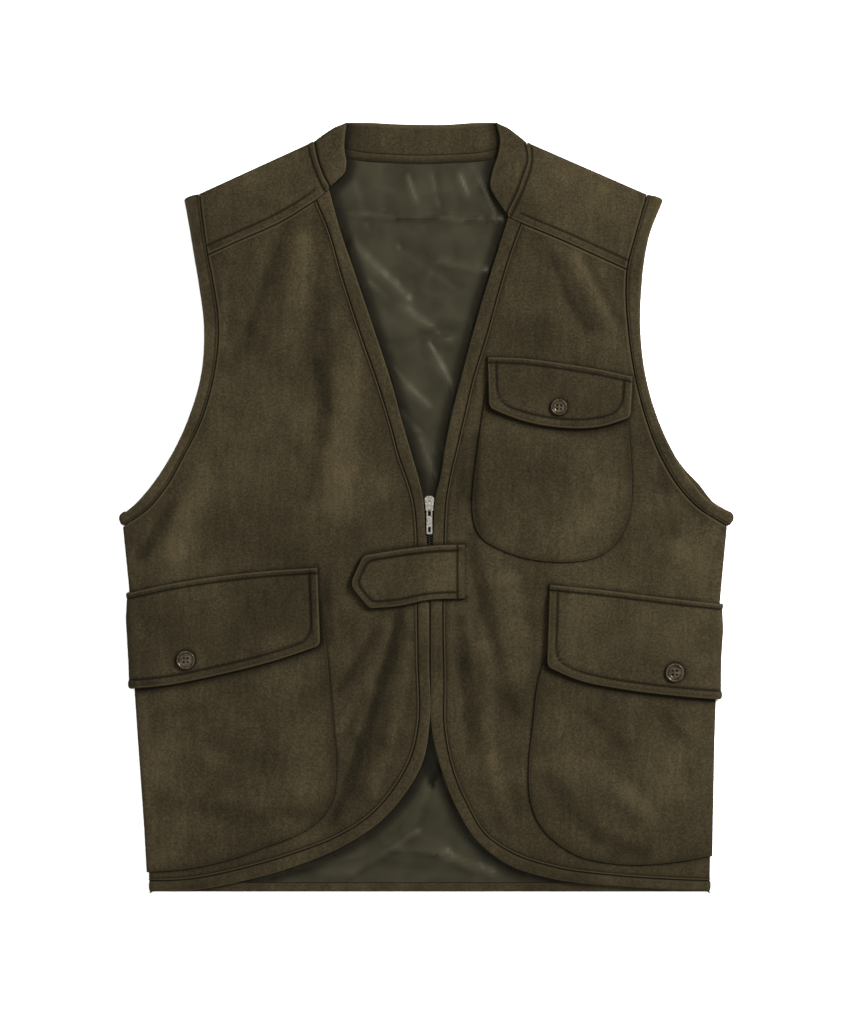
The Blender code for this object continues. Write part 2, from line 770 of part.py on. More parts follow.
def make_collar():
    """Standing band collar: laid over at both shoulders, with its inner side up at the back."""
    inside = np.array((0.0, 300.0))
    rings = []
    for side in ("right", "left"):
        front = collar_front(side)
        top = np.array(front[0][:2])

        def base(x, y, top=top, across_at=np.array(front[0][2:])):
            nearest = min(math.dist((x, y), end) for end in (top, across_at))
            return FRONT_FLOOR + LOFT * smooth((nearest - GAP) / FADE)

        laid = [level_ring(row, base, PUFFED) for row in front]
        turned = folded_rings(front[0], outward(front[0], inside), downwards=side == "right")
        if side == "right":
            rings += laid[::-1] + turned
            rings += [level_ring(row, lambda x, y: BAND, RESTING, way=-1) for row in collar_back()]
        else:
            rings += turned + laid
    band("collar", rings, closed=False)


def make_back():
    """Back panel, from the hem band up to the shoulders and the collar seam."""
    edges = {}
    for side in ("right", "left"):
        rise_rows = up_side(side, BACK_HEM_Y, SIDE_ROWS[0].y, BACK_SIDE_STEPS)
        arm = [np.array(row[:2]) for row in back_armhole(side)]
        tip = shoulder_tip(side)
        ends = [arm[-1] + (tip - arm[-1]) * share for share in (1 / 3, 2 / 3, 1)]
        edges[side] = rise_rows + arm + ends
    neck = [row[:2] for row in collar_back()]
    top = []
    for side in ("right", "left"):
        tip = shoulder_tip(side)
        run = np.array(NECK_POINT[side]) - tip
        length = np.linalg.norm(run)
        distances = inward_distances(length, SHOULDER_STEPS)[:-1]
        line = [tip + run * distance / length for distance in distances]
        top += line + neck if side == "right" else line[::-1]
    width = side_x("left", BACK_HEM_Y) - side_x("right", BACK_HEM_Y)
    turn = np.array(roll_distances())
    middle = np.linspace(ROLL, width - ROLL, len(top) - 2 * len(turn) + 2)[1:-1]
    start = side_x("right", BACK_HEM_Y)
    foot = [(start + run, BACK_HEM_Y) for run in [*turn, *middle, *(width - turn[::-1])]]
    sheet("back_panel", fill(foot, top, edges["right"], edges["left"]), back_place, -WALL, 0.0)


def make_lining():
    """Lining of the back, which shows inside the neckline and under the cut-away hem."""
    foot_y = BACK_HEM_Y + GAP
    edges = {}
    for side, inwards in (("right", 1), ("left", -1)):
        seam = up_side(side, foot_y, LINING_SIDE_TOP, BACK_SIDE_STEPS - 1)
        rows = [(x + inwards * LINING_INSET, y) for x, y in seam]
        arm = [np.array(row[:2]) - across(row) * LINING_INSET for row in back_armhole(side)[1:-1]]
        edges[side] = rows + arm
    neck = [row[:2] for row in collar_back()][1:-1]
    shoulders = {}
    for side in ("right", "left"):
        start = edges[side][-1]
        end = neck[0] if side == "right" else neck[-1]
        shoulders[side] = [start + (np.array(end) - start) * share for share in (0, 0.5)]
    top = shoulders["right"] + neck + shoulders["left"][::-1]
    foot = [(x, foot_y) for x in np.linspace(edges["right"][0][0], edges["left"][0][0], len(top))]
    plan = fill(foot, top, edges["right"], edges["left"])
    sheet("back_lining", plan, lambda x, y, off: (x, y, off), LINING_TOP - LINING_WALL, LINING_TOP, "lining")


def make_back_hem_band():
    """Straight band along the foot of the back."""
    start = side_x("right", BACK_HEM_Y)
    width = side_x("left", BACK_HEM_Y) - start
    turn = np.array(roll_distances())
    middle = np.linspace(ROLL, width - ROLL, ACROSS_STEPS + 1)[1:-1]
    rings = []
    for run in [*turn, *middle, *(width - turn[::-1])]:
        section = Section(start + run, BACK_HEM_Y, start + run, BACK_HEM_EDGE_Y)
        rings.append(placed_ring(section, back_place, -BAND, RESTING))
    band("back_hem_band", rings, closed=False)


def make_pocket(name, plan):
    """Patch pocket: flat along its sewn edges, and a little off the panel between them."""
    rows, columns = plan.shape[:2]
    up = np.sin(np.linspace(0, math.pi, rows))
    over = np.sin(np.linspace(0, math.pi, columns))
    puff = POCKET_PUFF * np.outer(up, over)
    sheet(name, plan, front_place, CLEAR + puff, CLEAR + POCKET_WALL + puff)


def make_hip_pocket(side):
    """Patch pocket that runs into the side seam."""
    shape = HIP_POCKET[side]
    foot_line = Line(shape["foot"])
    foot = foot_line.at(inward_distances(foot_line.knots[-1], POCKET_STEPS))
    foot[0] = (side_x(side, foot[0][1]), foot[0][1])
    inner = Line(shape["inner"]).even(POCKET_STEPS + 2)
    outer = up_side(side, foot[0][1], shape["side_top"], POCKET_STEPS + 2)
    top_line = Line((outer[-1], inner[-1]))
    top = top_line.at(inward_distances(top_line.knots[-1], POCKET_STEPS))
    make_pocket("hip_pocket_" + side, fill(foot, top, outer, inner))


def make_chest_pocket():
    """Patch pocket on the left chest."""
    foot = Line(CHEST_POCKET["foot"]).even(POCKET_STEPS)
    outer = Line(CHEST_POCKET["outer"]).even(POCKET_STEPS)
    inner = Line(CHEST_POCKET["inner"]).even(POCKET_STEPS)
    top = Line((outer[-1], inner[-1])).even(POCKET_STEPS)
    make_pocket("chest_pocket", fill(foot, top, outer, inner))


def make_flap(name, shape, side=None):
    """Pocket flap: sewn flat along its top, then standing clear over the pocket."""
    top_line = Line(shape["top"])
    foot_line = Line(shape["foot"])
    if side:
        top = top_line.at(inward_distances(top_line.knots[-1], FLAP_STEPS))
        foot = foot_line.at(inward_distances(foot_line.knots[-1], FLAP_STEPS))
    else:
        top = top_line.even(FLAP_STEPS)
        foot = foot_line.even(FLAP_STEPS)
    plan = np.array([top + (foot - top) * row.down for row in FLAP_ROWS])
    if side:
        for row in plan:
            row[:, 0] += (side_x(side, row[0][1]) - row[0][0]) * (1 - share_along(row))
    off = np.array([[row.off] * len(top) for row in FLAP_ROWS])
    sheet(name, plan, front_place, off, off + FLAP_WALL)


def make_tab():
    """Tab sewn to the left front, lying across the zip with its point on the right front."""
    top = Line(TAB_TOP).even(TAB_STEPS)
    foot = Line(TAB_FOOT).even(TAB_STEPS)
    tip = np.array(TAB_TIP)
    pointed = [foot[0], (foot[0] + tip) / 2, tip, (tip + top[0]) / 2, top[0]]
    square = [foot[-1] + (top[-1] - foot[-1]) * share for share in np.linspace(0, 1, len(pointed))]
    plan = fill(foot, top, pointed, square)
    lift_x = ZIP_X - TAB_LIFT_START
    reach = np.clip((lift_x - plan[:, :, 0]) / (lift_x - tip[0]), 0, 1)
    lift = CLEAR + TAB_LIFT * reach ** TAB_LIFT_POWER
    sheet("front_tab", plan, tab_place, lift, lift + TAB_WALL)


def prism(name, outline, low, high, finish, origin=(0.0, 0.0, 0.0)):
    """A flat plate with the given plan outline."""
    count = len(outline)
    points = [(x, y, low) for x, y in outline] + [(x, y, high) for x, y in outline]
    faces = [list(range(count)), [index + count for index in range(count)]]
    faces += [(k, (k + 1) % count, (k + 1) % count + count, k + count) for k in range(count)]
    return add_object(name, points, faces, finish, origin)


def slot_outline(width, low_y, high_y, bevel):
    """A rectangle over the zip with its corners cut off."""
    half = width / 2
    return [(ZIP_X - half, low_y + bevel), (ZIP_X - half + bevel, low_y),
            (ZIP_X + half - bevel, low_y), (ZIP_X + half, low_y + bevel),
            (ZIP_X + half, high_y - bevel), (ZIP_X + half - bevel, high_y),
            (ZIP_X - half + bevel, high_y), (ZIP_X - half, high_y - bevel)]


def ring_outline(x, y, radius, sides):
    """Plan points round a circle."""
    turns = [2 * math.pi * k / sides for k in range(sides)]
    return [(x + radius * math.cos(turn), y + radius * math.sin(turn)) for turn in turns]


def cut(target, cutter):
    """Takes a guide's solid out of a piece."""
    cutter.hide_render = True
    cutter.display_type = "WIRE"
    carve = target.modifiers.new("cut", "BOOLEAN")
    carve.operation = "DIFFERENCE"
    carve.object = cutter


def join(target, other):
    """Adds a guide's solid to a piece."""
    cut(target, other)
    target.modifiers[-1].operation = "UNION"


def make_zip_tape():
    """Closed zip: a tape with its chain of teeth as a plain ridge."""
    half_tape = TAPE_WIDTH / 2
    half_chain = CHAIN_WIDTH / 2
    base = FRONT_FLOOR
    profile = ((-half_tape, 0), (half_tape, 0), (half_tape, TAPE_WALL), (half_chain, TAPE_WALL),
               (half_chain, CHAIN_HEIGHT), (-half_chain, CHAIN_HEIGHT), (-half_chain, TAPE_WALL),
               (-half_tape, TAPE_WALL))
    rings = [[(ZIP_X + x, y, base + z) for x, z in profile] for y in (ZIP_TOP_Y, ZIP_FOOT_Y)]
    band("zip_tape", rings, closed=False, finish="tape")


def make_slider():
    """Zip slider: a tapered body with a bridge over its top."""
    foot = SLIDER_FOOT_WIDTH / 2
    head = SLIDER_HEAD_WIDTH / 2
    middle_y = (SLIDER_FOOT_Y + SLIDER_HEAD_Y) / 2
    half_outline = [(foot - SLIDER_FOOT_BEVEL, SLIDER_FOOT_Y), (foot, SLIDER_FOOT_Y + SLIDER_FOOT_BEVEL),
                    (foot, middle_y - SLIDER_TAPER), (head, middle_y + SLIDER_TAPER),
                    (head, SLIDER_HEAD_Y - SLIDER_HEAD_BEVEL), (head - SLIDER_HEAD_BEVEL, SLIDER_HEAD_Y)]
    outline = [(ZIP_X + x, y) for x, y in half_outline]
    outline += [(ZIP_X - x, y) for x, y in reversed(half_outline)]
    body = prism("zip_slider", outline, SLIDER_BASE, SLIDER_TOP, "metal")
    room_top = SLIDER_TOP + BRIDGE_ROOM
    crown = room_top + BRIDGE_WALL
    low = SLIDER_TOP - BRIDGE_ROOT
    room_foot = BRIDGE_FOOT_Y + BRIDGE_WALL
    room_head = BRIDGE_HEAD_Y - BRIDGE_WALL
    profile = ((BRIDGE_FOOT_Y, low), (room_foot, low), (room_foot, room_top), (room_head, room_top),
               (room_head, low), (BRIDGE_HEAD_Y, low), (BRIDGE_HEAD_Y, room_top),
               (BRIDGE_HEAD_Y - BRIDGE_BEVEL, crown), (BRIDGE_FOOT_Y + BRIDGE_BEVEL, crown),
               (BRIDGE_FOOT_Y, room_top))
    rings = [[(ZIP_X + way * BRIDGE_WIDTH / 2, y, z) for y, z in profile] for way in (-1, 1)]
    join(body, band("bridge_guide", rings, closed=False, finish="metal"))


def make_pull():
    """Zip pull, lying down from its crossbar under the slider's bridge."""
    origin = (ZIP_X, PULL_AXIS_Y, PULL_AXIS_Z)
    half = PULL_WALL / 2
    low = PULL_AXIS_Z - half
    high = PULL_AXIS_Z + half
    plate = slot_outline(PULL_WIDTH, PULL_AXIS_Y - PULL_LENGTH, PULL_AXIS_Y + half, PULL_BEVEL)
    pull = prism("zip_pull", plate, low, high, "metal", origin)
    holes = (("slot", PULL_SLOT, PULL_SLOT_WIDTH), ("eye", PULL_HOLE, PULL_HOLE_WIDTH))
    for name, (near, far), width in holes:
        outline = slot_outline(width, PULL_AXIS_Y - far, PULL_AXIS_Y - near, PULL_HOLE_BEVEL)
        cut(pull, prism("pull_" + name + "_guide", outline, low - CUT_OVER, high + CUT_OVER, "metal"))


def height_across(points, x):
    """Y of a line of plan points at an x."""
    order = np.argsort(points[:, 0])
    return np.interp(x, points[order, 0], points[order, 1])


def button_seat(button):
    """Height of the flap's outer face under a button, at its highest."""
    top = Line(button.flap["top"]).even(FLAP_SAMPLES)
    foot = Line(button.flap["foot"]).even(FLAP_SAMPLES)
    heights = []
    for x, y in ring_outline(button.x, button.y, button.radius, SEAT_SAMPLES):
        top_y = height_across(top, x)
        down = (top_y - y) / (top_y - height_across(foot, x))
        off = np.interp(down, [row.down for row in FLAP_ROWS], [row.off for row in FLAP_ROWS])
        heights.append(front_place(x, y, off + FLAP_WALL)[2])
    return max(heights)


def make_button(button):
    """Round button with a raised rim and four holes."""
    seat = button_seat(button) + GAP
    rings = []
    for row in BUTTON_PROFILE:
        outline = ring_outline(button.x, button.y, button.radius * row.reach, BUTTON_SIDES)
        rings.append([(x, y, seat + row.height) for x, y in outline])
    made = band(button.name, rings, closed=False, finish="button", origin=(button.x, button.y, seat))
    low = seat - CUT_OVER
    high = seat + max(row.height for row in BUTTON_PROFILE) + CUT_OVER
    for x, y in ring_outline(button.x, button.y, BUTTON_HOLE_SPREAD, BUTTON_HOLES):
        hole = ring_outline(x, y, BUTTON_HOLE, BUTTON_HOLE_SIDES)
        cut(made, prism(button.name + "_hole_guide", hole, low, high, "button"))


def main():
    for old in list(bpy.data.objects):
        bpy.data.objects.remove(old, do_unlink=True)
    make_back()
    make_lining()
    make_back_hem_band()
    for side in ("right", "left"):
        make_front(side)
        make_yoke(side)
        make_front_band(side)
        make_armhole_band(side)
        make_hip_pocket(side)
        make_flap("hip_flap_" + side, HIP_FLAP[side], side)
    make_collar()
    make_chest_pocket()
    make_flap("chest_flap", CHEST_FLAP)
    make_tab()
    make_zip_tape()
    make_slider()
    make_pull()
    for button in BUTTONS:
        make_button(button)


main()
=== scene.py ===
# The looks of a suede vest laid flat on its back with its front upwards.
# Sizes are in millimetres and become metres where a mesh is made. "Right" and "left" are the wearer's.
import math
from collections import namedtuple

import bmesh
import bpy
import numpy as np
from mathutils import Matrix, Vector


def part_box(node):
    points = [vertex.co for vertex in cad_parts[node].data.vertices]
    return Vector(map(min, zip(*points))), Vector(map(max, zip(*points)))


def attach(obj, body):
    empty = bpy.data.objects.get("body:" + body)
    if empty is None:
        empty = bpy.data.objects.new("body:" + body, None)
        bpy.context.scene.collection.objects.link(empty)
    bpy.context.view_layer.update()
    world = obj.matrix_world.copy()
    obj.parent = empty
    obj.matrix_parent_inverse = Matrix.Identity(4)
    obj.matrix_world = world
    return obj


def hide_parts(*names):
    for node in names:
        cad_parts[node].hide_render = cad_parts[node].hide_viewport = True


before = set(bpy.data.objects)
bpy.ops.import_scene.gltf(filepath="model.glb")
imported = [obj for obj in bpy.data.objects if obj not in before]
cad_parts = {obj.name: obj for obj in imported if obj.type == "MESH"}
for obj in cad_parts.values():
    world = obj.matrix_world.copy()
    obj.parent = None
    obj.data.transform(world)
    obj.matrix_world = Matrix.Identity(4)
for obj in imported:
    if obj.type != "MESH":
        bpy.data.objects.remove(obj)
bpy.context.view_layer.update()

MM = 0.001
BODY = "vest"
SIDES = ("right", "left")

# Cloth walls and the room between the layers, as in the solids
WALL = 1.6
LINING_WALL = 1.0
POCKET_WALL = 1.5
FLAP_WALL = 2.4
TAB_WALL = 2.8
BAND = 2.5
GAP = 0.3
CLEAR = 0.5
LOFT = 1.5
POCKET_PUFF = 1.2
LINING_TOP = WALL + GAP + LINING_WALL
FRONT_FLOOR = LINING_TOP + GAP
SEAM_HEIGHT = 2.6
ROLL = 3.5
FADE = 20.0
LINING_INSET = 7.0
FOLD_CENTRE = (FRONT_FLOOR + BAND) / 2
FOLD_RADIUS = (FRONT_FLOOR - BAND) / 2
FOLD_EASE = 12.5

# Side edges of the body by height
Side = namedtuple("Side", "y right left")
SIDE_EDGES = (
    Side(-354, -254.5, 260.5),
    Side(-292, -258.0, 261.5),
    Side(-215, -263.5, 263.0),
    Side(-141, -268.5, 265.5),
    Side(-71, -274.0, 271.5),
    Side(-18.2, -279.3, 276.5),
)
NECK_POINT = {"right": (-104.5, 335.6), "left": (93.5, 334.8)}

# Sections across the bands: where each is sewn on, and its free edge
Section = namedtuple("Section", "seam_x seam_y edge_x edge_y")
ARMHOLE = {
    "right": (
        Section(-278, -17.5, -276, -4.5),
        Section(-258, -4, -265, 5),
        Section(-240, 17, -250, 23),
        Section(-224, 45, -233, 50),
        Section(-207, 79, -218, 83),
        Section(-195.5, 120, -207, 122),
        Section(-191, 165, -204.5, 165),
        Section(-196, 205, -209, 203),
        Section(-201, 231, -213.5, 230),
        Section(-205, 258, -218, 257),
        Section(-208.3, 285, -222.3, 280.3),
    ),
    "left": (
        Section(275.2, -17.3, 278.3, -4.3),
        Section(252, -3, 259, 6),
        Section(234, 15, 243, 24),
        Section(215.5, 45, 226, 51),
        Section(201.5, 81, 211, 85),
        Section(191.5, 120, 201, 122),
        Section(185, 165, 196.5, 165),
        Section(183, 200, 197.5, 200),
        Section(184, 217.5, 199, 217),
        Section(191.5, 248, 204.5, 248),
        Section(201.8, 284.5, 216.8, 280),
    ),
}
YOKE_ROW = 8
BACK_SHOW = {"right": 0.0, "left": 4.2}
BACK_SHOW_ROW = 1.6
BACK_SHOW_SPREAD = 0.8
FRONT_EDGE = {
    "right": (
        Section(-254.5, -344, -254.5, -353),
        Section(-222, -342.5, -220, -352.8),
        Section(-162, -330.5, -158, -341.5),
        Section(-122.8, -318.8, -118, -329.8),
        Section(-82, -303, -76.5, -312),
        Section(-53, -284.5, -45.5, -292),
        Section(-31, -260, -21, -265.5),
        Section(-14, -229, -2.5, -232),
        Section(-7.5, -200, 3, -198),
        Section(-8, -141, 2.2, -141),
        Section(-8.7, -86, 2.2, -86),
        Section(-8.7, -49, 1.2, -49),
        Section(-9.2, -21, -0.6, -21),
        Section(-12.4, 6, -3, 7),
        Section(-17, 22.5, -7, 25),
        Section(-24.4, 43, -13, 46),
        Section(-33.6, 77, -23, 80),
        Section(-42.8, 107, -31, 110),
        Section(-61.2, 160, -49, 165),
        Section(-79.6, 217.5, -68, 221),
        Section(-88.8, 250, -79, 253),
        Section(-101.5, 281, -89.5, 291),
    ),
    "left": (
        Section(260.6, -344, 260.6, -353),
        Section(218, -342, 217, -351.3),
        Section(175, -339, 173, -348.5),
        Section(115, -330.5, 111, -341),
        Section(79.5, -318.5, 73, -328),
        Section(54, -301, 46, -306.5),
        Section(37.3, -273.5, 27.5, -277),
        Section(23.5, -240, 13, -240),
        Section(16.5, -204, 4.8, -204),
        Section(16.1, -160, 4, -160),
        Section(15.2, -104, 4, -104),
        Section(15.8, -49, 4.8, -49),
        Section(16.4, -21, 6.2, -21),
        Section(18, 6, 8, 7),
        Section(22, 29, 13, 28),
        Section(27.5, 52, 17, 54),
        Section(34, 80, 23, 84),
        Section(43.5, 120, 33, 123),
        Section(54.5, 155, 42.5, 159),
        Section(66, 197, 55, 202),
        Section(78, 236, 67, 240),
        Section(87, 260, 75, 265.5),
    ),
}
ZIP_FOOT_ROW = 8
COLLAR_RIGHT = (
    Section(-88.8, 294, -75, 306),
    Section(-93.4, 302, -73.6, 314),
    Section(-99.8, 318.8, -75.5, 331),
    Section(-102.8, 333.2, -73.5, 353.4),
)
COLLAR_BACK = (
    Section(-102.8, 333.2, -73.5, 353.4),
    Section(-74, 320.6, -53, 353.4),
    Section(-27, 315.6, -24, 352),
    Section(17, 315.6, 16, 351.6),
    Section(64.9, 320.6, 46, 353.4),
    Section(91.3, 332.4, 64, 353.4),
)
COLLAR_LEFT = (
    Section(91.3, 332.4, 64, 353.4),
    Section(93, 318, 67.5, 337),
    Section(88.5, 304, 65.5, 323),
    Section(84, 291, 61, 309.6),
    Section(73.5, 269.5, 57.5, 293),
)

Point = namedtuple("Point", "x y")
YOKE_SEAM = {
    "right": (Point(-201, 231), Point(-171.6, 244.3), Point(-134.8, 260.8), Point(-101.5, 281)),
    "left": (Point(184, 217.5), Point(159.6, 228.6), Point(122.8, 245.2), Point(87, 260)),
}
YOKE_SEAM_GAP = 0.36
BACK_HEM_Y = -346.0
BACK_HEM_EDGE_Y = -354.4

# Patch pockets and flaps, from the side or outer edge inwards
HIP_POCKET = {
    "right": {
        "foot": (Point(-254.9, -336), Point(-222, -333.5), Point(-182.6, -325.2), Point(-142, -310.5),
                 Point(-112.7, -299.5), Point(-93, -284)),
        "inner": (Point(-93, -284), Point(-84.5, -266), Point(-82.3, -240), Point(-86, -196.4),
                  Point(-90.6, -138.5), Point(-97, -85)),
        "side_top": -109.0,
    },
    "left": {
        "foot": (Point(261, -321.5), Point(230.5, -326.6), Point(199.2, -329.4), Point(165, -327.5),
                 Point(136.6, -320.6), Point(105, -297)),
        "inner": (Point(105, -297), Point(95.5, -274), Point(93.4, -240), Point(98, -196.4),
                  Point(102, -159.6), Point(114, -126)),
        "side_top": -119.0,
    },
}
CHEST_POCKET = {
    "foot": (Point(176, -34), Point(160, -47), Point(130, -51.5), Point(87, -47.4), Point(50, -32)),
    "outer": (Point(176, -34), Point(186, -12), Point(189.3, 14), Point(188, 45), Point(184, 102)),
    "inner": (Point(50, -32), Point(42.5, -15), Point(41.5, 6), Point(45.5, 43.7), Point(56.5, 119)),
}
HIP_FLAP = {
    "right": {
        "top": (Point(-273.4, -79), Point(-245, -72.5), Point(-208.4, -66), Point(-153, -59.3),
                Point(-99.8, -55.7)),
        "foot": (Point(-266.7, -167), Point(-245, -165), Point(-190, -154.5), Point(-134.8, -140.3),
                 Point(-97, -127.5)),
    },
    "left": {
        "top": (Point(270.0, -89), Point(214.8, -82.8), Point(159.6, -75.9), Point(112.7, -71.3)),
        "foot": (Point(264.2, -177), Point(233, -174.3), Point(178, -167.5), Point(139.4, -159.6),
                 Point(110, -147)),
    },
}
CHEST_FLAP = {
    "top": (Point(189.5, 119.5), Point(159.6, 126), Point(122.8, 132), Point(86, 136.6),
            Point(55.7, 137.5)),
    "foot": (Point(187.2, 81.4), Point(159.6, 72.7), Point(122.8, 71.8), Point(86, 78.7),
             Point(57, 90)),
}
FlapRow = namedtuple("FlapRow", "down off")
FLAP_ROWS = (
    FlapRow(0, CLEAR),
    FlapRow(0.08, CLEAR),
    FlapRow(0.27, 2.8),
    FlapRow(0.5, 3.2),
    FlapRow(0.75, 3.7),
    FlapRow(1, 4.4),
)
TAB_TOP = (Point(-58.4, -44.6), Point(-24.4, -39.1), Point(12.4, -35), Point(35.4, -34.5))
TAB_FOOT = (Point(-52.9, -93.8), Point(-24.4, -91.5), Point(-1.4, -86.5), Point(35.4, -84.6))
TAB_TIP = Point(-70.8, -71.8)
TAB_CLIMB_START = 28.0
TAB_CLIMB = 10.0
TAB_LIFT = 2.4
TAB_LIFT_START = 12.0
TAB_LIFT_POWER = 1.5
ZIP_X = 2.7

# Folds of the fronts: ridges (height over 0) and troughs along a line, with the half width of their slope
Fold = namedtuple("Fold", "x1 y1 x2 y2 width height")
FOLDS = (
    Fold(-130, 252, -158, 150, 18, -0.9),
    Fold(-116, 240, -126, 130, 17, 1.6),
    Fold(-99, 262, -98, 60, 15, -0.9),
    Fold(-70, 150, -82, -5, 24, 1.3),
    Fold(-228, 22, -256, -36, 15, -1.0),
    Fold(-206, 30, -232, -44, 18, 1.4),
    Fold(-38, -114, -60, -205, 14, 2.4),
    Fold(-26, -112, -46, -160, 12, -1.3),
    Fold(-46, -160, -68, -262, 12, -1.3),
    Fold(-17, -130, -36, -215, 11, 1.8),
    Fold(-36, -215, -52, -262, 12, 1.6),
    Fold(100, 242, 109, 199, 13, -0.8),
    Fold(118, 225, 146, 166, 14, -0.9),
    Fold(137, 222, 168, 168, 13, 1.3),
    Fold(33, 60, 31, 10, 9, -0.7),
    Fold(38, -46, 58, -104, 14, -0.9),
    Fold(74, -72, 76, -160, 20, 1.7),
    Fold(243, 12, 256, -22, 11, -0.8),
    Fold(222, 4, 232, -40, 18, 1.3),
    Fold(30, -123, 42, -215, 11, -0.8),
    Fold(52, -130, 58, -235, 14, 1.5),
)
# How much more the folds stand out than in the solids, and smaller creases that only show here
CREASE_GAIN = 1.8
SETTLE = 0.35
CREASES = (
    Fold(-121, 273, -162, 162, 9, -0.6),
    Fold(-162, 162, -182, 124, 11, -0.6),
    Fold(-98, 130, -92, 88, 9, -0.9),
    Fold(-93, 88, -110, 8, 10, -0.6),
    Fold(-24, -98, -38, -150, 7, -1.2),
    Fold(-38, -150, -70, -252, 8, -1.4),
    Fold(-70, -252, -86, -290, 8, -1.2),
    Fold(-43, -111, -80, -169, 7, -0.9),
    Fold(-61, -169, -80, -206, 7, 1.0),
    Fold(-93, -68, -88, -124, 7, -1.0),
    Fold(-234, 2, -260, -46, 7, -1.2),
    Fold(-186, 215, -188, 150, 8, 0.6),
    Fold(-250, -192, -200, -184, 8, -0.4),
    Fold(-240, -272, -150, -286, 14, -0.5),
    Fold(-140, -280, -104, -282, 10, -0.5),
    Fold(-205, -225, -180, -240, 12, 0.5),
    Fold(41, -26, 54, -95, 9, -0.9),
    Fold(54, -95, 81, -187, 10, -0.8),
    Fold(31, -104, 40, -224, 7, -0.7),
    Fold(86, -112, 87, -158, 12, 0.9),
    Fold(45, 66, 42, 6, 7, -1.0),
    Fold(42, 6, 49, -26, 7, -1.0),
    Fold(113, 237, 132, 190, 7, -0.7),
    Fold(132, 190, 150, 162, 7, -0.6),
    Fold(146, 227, 178, 168, 7, -0.7),
    Fold(215, 34, 229, -26, 8, -0.8),
    Fold(56, -232, 78, -292, 9, 0.9),
    Fold(109, -247, 155, -302, 14, -0.8),
    Fold(155, -302, 201, -320, 12, -0.8),
    Fold(146, -190, 178, -219, 10, -0.6),
    Fold(215, -190, 242, -219, 10, -0.6),
    Fold(185, -262, 205, -285, 14, 0.7),
)
LINING_FOLDS = (
    Fold(-84, 271, -25, 266, 5, 0.8),
    Fold(-25, 266, 66, 263, 4, 0.9),
    Fold(-60, 300, -46, 250, 10, -0.5),
    Fold(-20, 304, -12, 280, 5, 0.6),
    Fold(8, 306, 14, 276, 4, -0.5),
    Fold(28, 304, 36, 284, 5, 0.6),
    Fold(46, 300, 60, 268, 6, 0.5),
    Fold(-70, 240, -20, 190, 9, 0.8),
    Fold(-20, 240, 30, 205, 8, -0.7),
    Fold(10, 225, 55, 215, 6, 0.7),
    Fold(-56, 205, 20, 150, 8, 0.7),
    Fold(-30, 150, 30, 165, 7, -0.6),
    Fold(-40, 130, 0, 90, 7, 0.7),
    Fold(0, 150, 24, 100, 8, 0.7),
    Fold(-20, 90, 14, 50, 6, -0.6),
    Fold(-8, 60, 8, 20, 5, 0.5),
    Fold(-150, -338, -60, -320, 6, 0.6),
    Fold(-70, -338, -10, -300, 7, 0.8),
    Fold(-40, -330, 30, -336, 5, -0.6),
    Fold(-10, -290, 10, -240, 6, 0.6),
    Fold(10, -320, 60, -338, 7, 0.9),
    Fold(30, -300, 90, -336, 6, -0.6),
    Fold(-30, -315, 20, -318, 5, 0.7),
)

# How finely the cloth is divided
FINE = 1
STEP = 2.8 * FINE
LINING_STEP = 3.2 * FINE
BACK_STEP = 6.0
BAND_STEP = 2.5 * FINE
LINE_STEP = 3.0
NECK_STEP = 4.0
COLLAR_STEP = 1.5
STITCH_PITCH = 3.0
ROLL_TURNS = 6
SIDE_POINTS = 60
EDGE_POINTS = 40
END_POINTS = 30
SHORT_POINTS = 20
TIP_POINTS = 16


class Line:
    """A smooth curve through the rows of a table, read by distance along it."""

    def __init__(self, rows):
        self.points = np.array(rows, dtype=float)
        runs = np.diff(self.points, axis=0)
        steps = np.linalg.norm(runs, axis=1)
        slopes = runs / steps[:, None]
        before = steps[:-1, None]
        after = steps[1:, None]
        self.knots = np.concatenate(([0.0], np.cumsum(steps)))
        self.tangents = np.vstack((slopes[:1], slopes))
        self.tangents[1:-1] = (slopes[:-1] * after + slopes[1:] * before) / (before + after)

    def at(self, along):
        """Values at the given distances along the curve."""
        along = np.asarray(along, dtype=float)
        cell = np.clip(np.searchsorted(self.knots, along, side="right") - 1, 0, len(self.knots) - 2)
        span = (self.knots[cell + 1] - self.knots[cell])[:, None]
        t = (along - self.knots[cell])[:, None] / span
        start = self.points[cell]
        end = self.points[cell + 1]
        return ((2 * t**3 - 3 * t**2 + 1) * start + (t**3 - 2 * t**2 + t) * span * self.tangents[cell]
                + (3 * t**2 - 2 * t**3) * end + (t**3 - t**2) * span * self.tangents[cell + 1])

    def every(self, step, first=0, last=-1):
        """Values at even distances of about a step, from one row to another."""
        length = self.knots[last] - self.knots[first]
        return self.at(np.linspace(self.knots[first], self.knots[last], max(round(length / step), 2) + 1))


def smooth(share):
    """A share from 0 to 1 that starts and ends level."""
    share = np.clip(share, 0.0, 1.0)
    return share * share * (3 - 2 * share)


def bell(offset, width):
    """A hump of height 1 that fades over a width to each side."""
    return np.exp(-(offset / width) ** 2)


def box_of(node):
    """Low and high corners of a solid."""
    return (np.array(corner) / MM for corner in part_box(node))


def plan_line(rows, first=0, last=-1):
    """Plan points along a table's line, or along the seam of a table of sections."""
    return Line(rows).every(LINE_STEP, first, last)[:, :2]


def ring_faces(count, size, closed=False):
    """Faces between each ring of points and the next."""
    here = np.arange(count if closed else count - 1)[:, None] * size
    there = (here + size) % (count * size)
    k = np.arange(size)
    after = (k + 1) % size
    return np.stack((here + k, here + after, there + after, there + k), axis=-1).reshape(-1, 4)


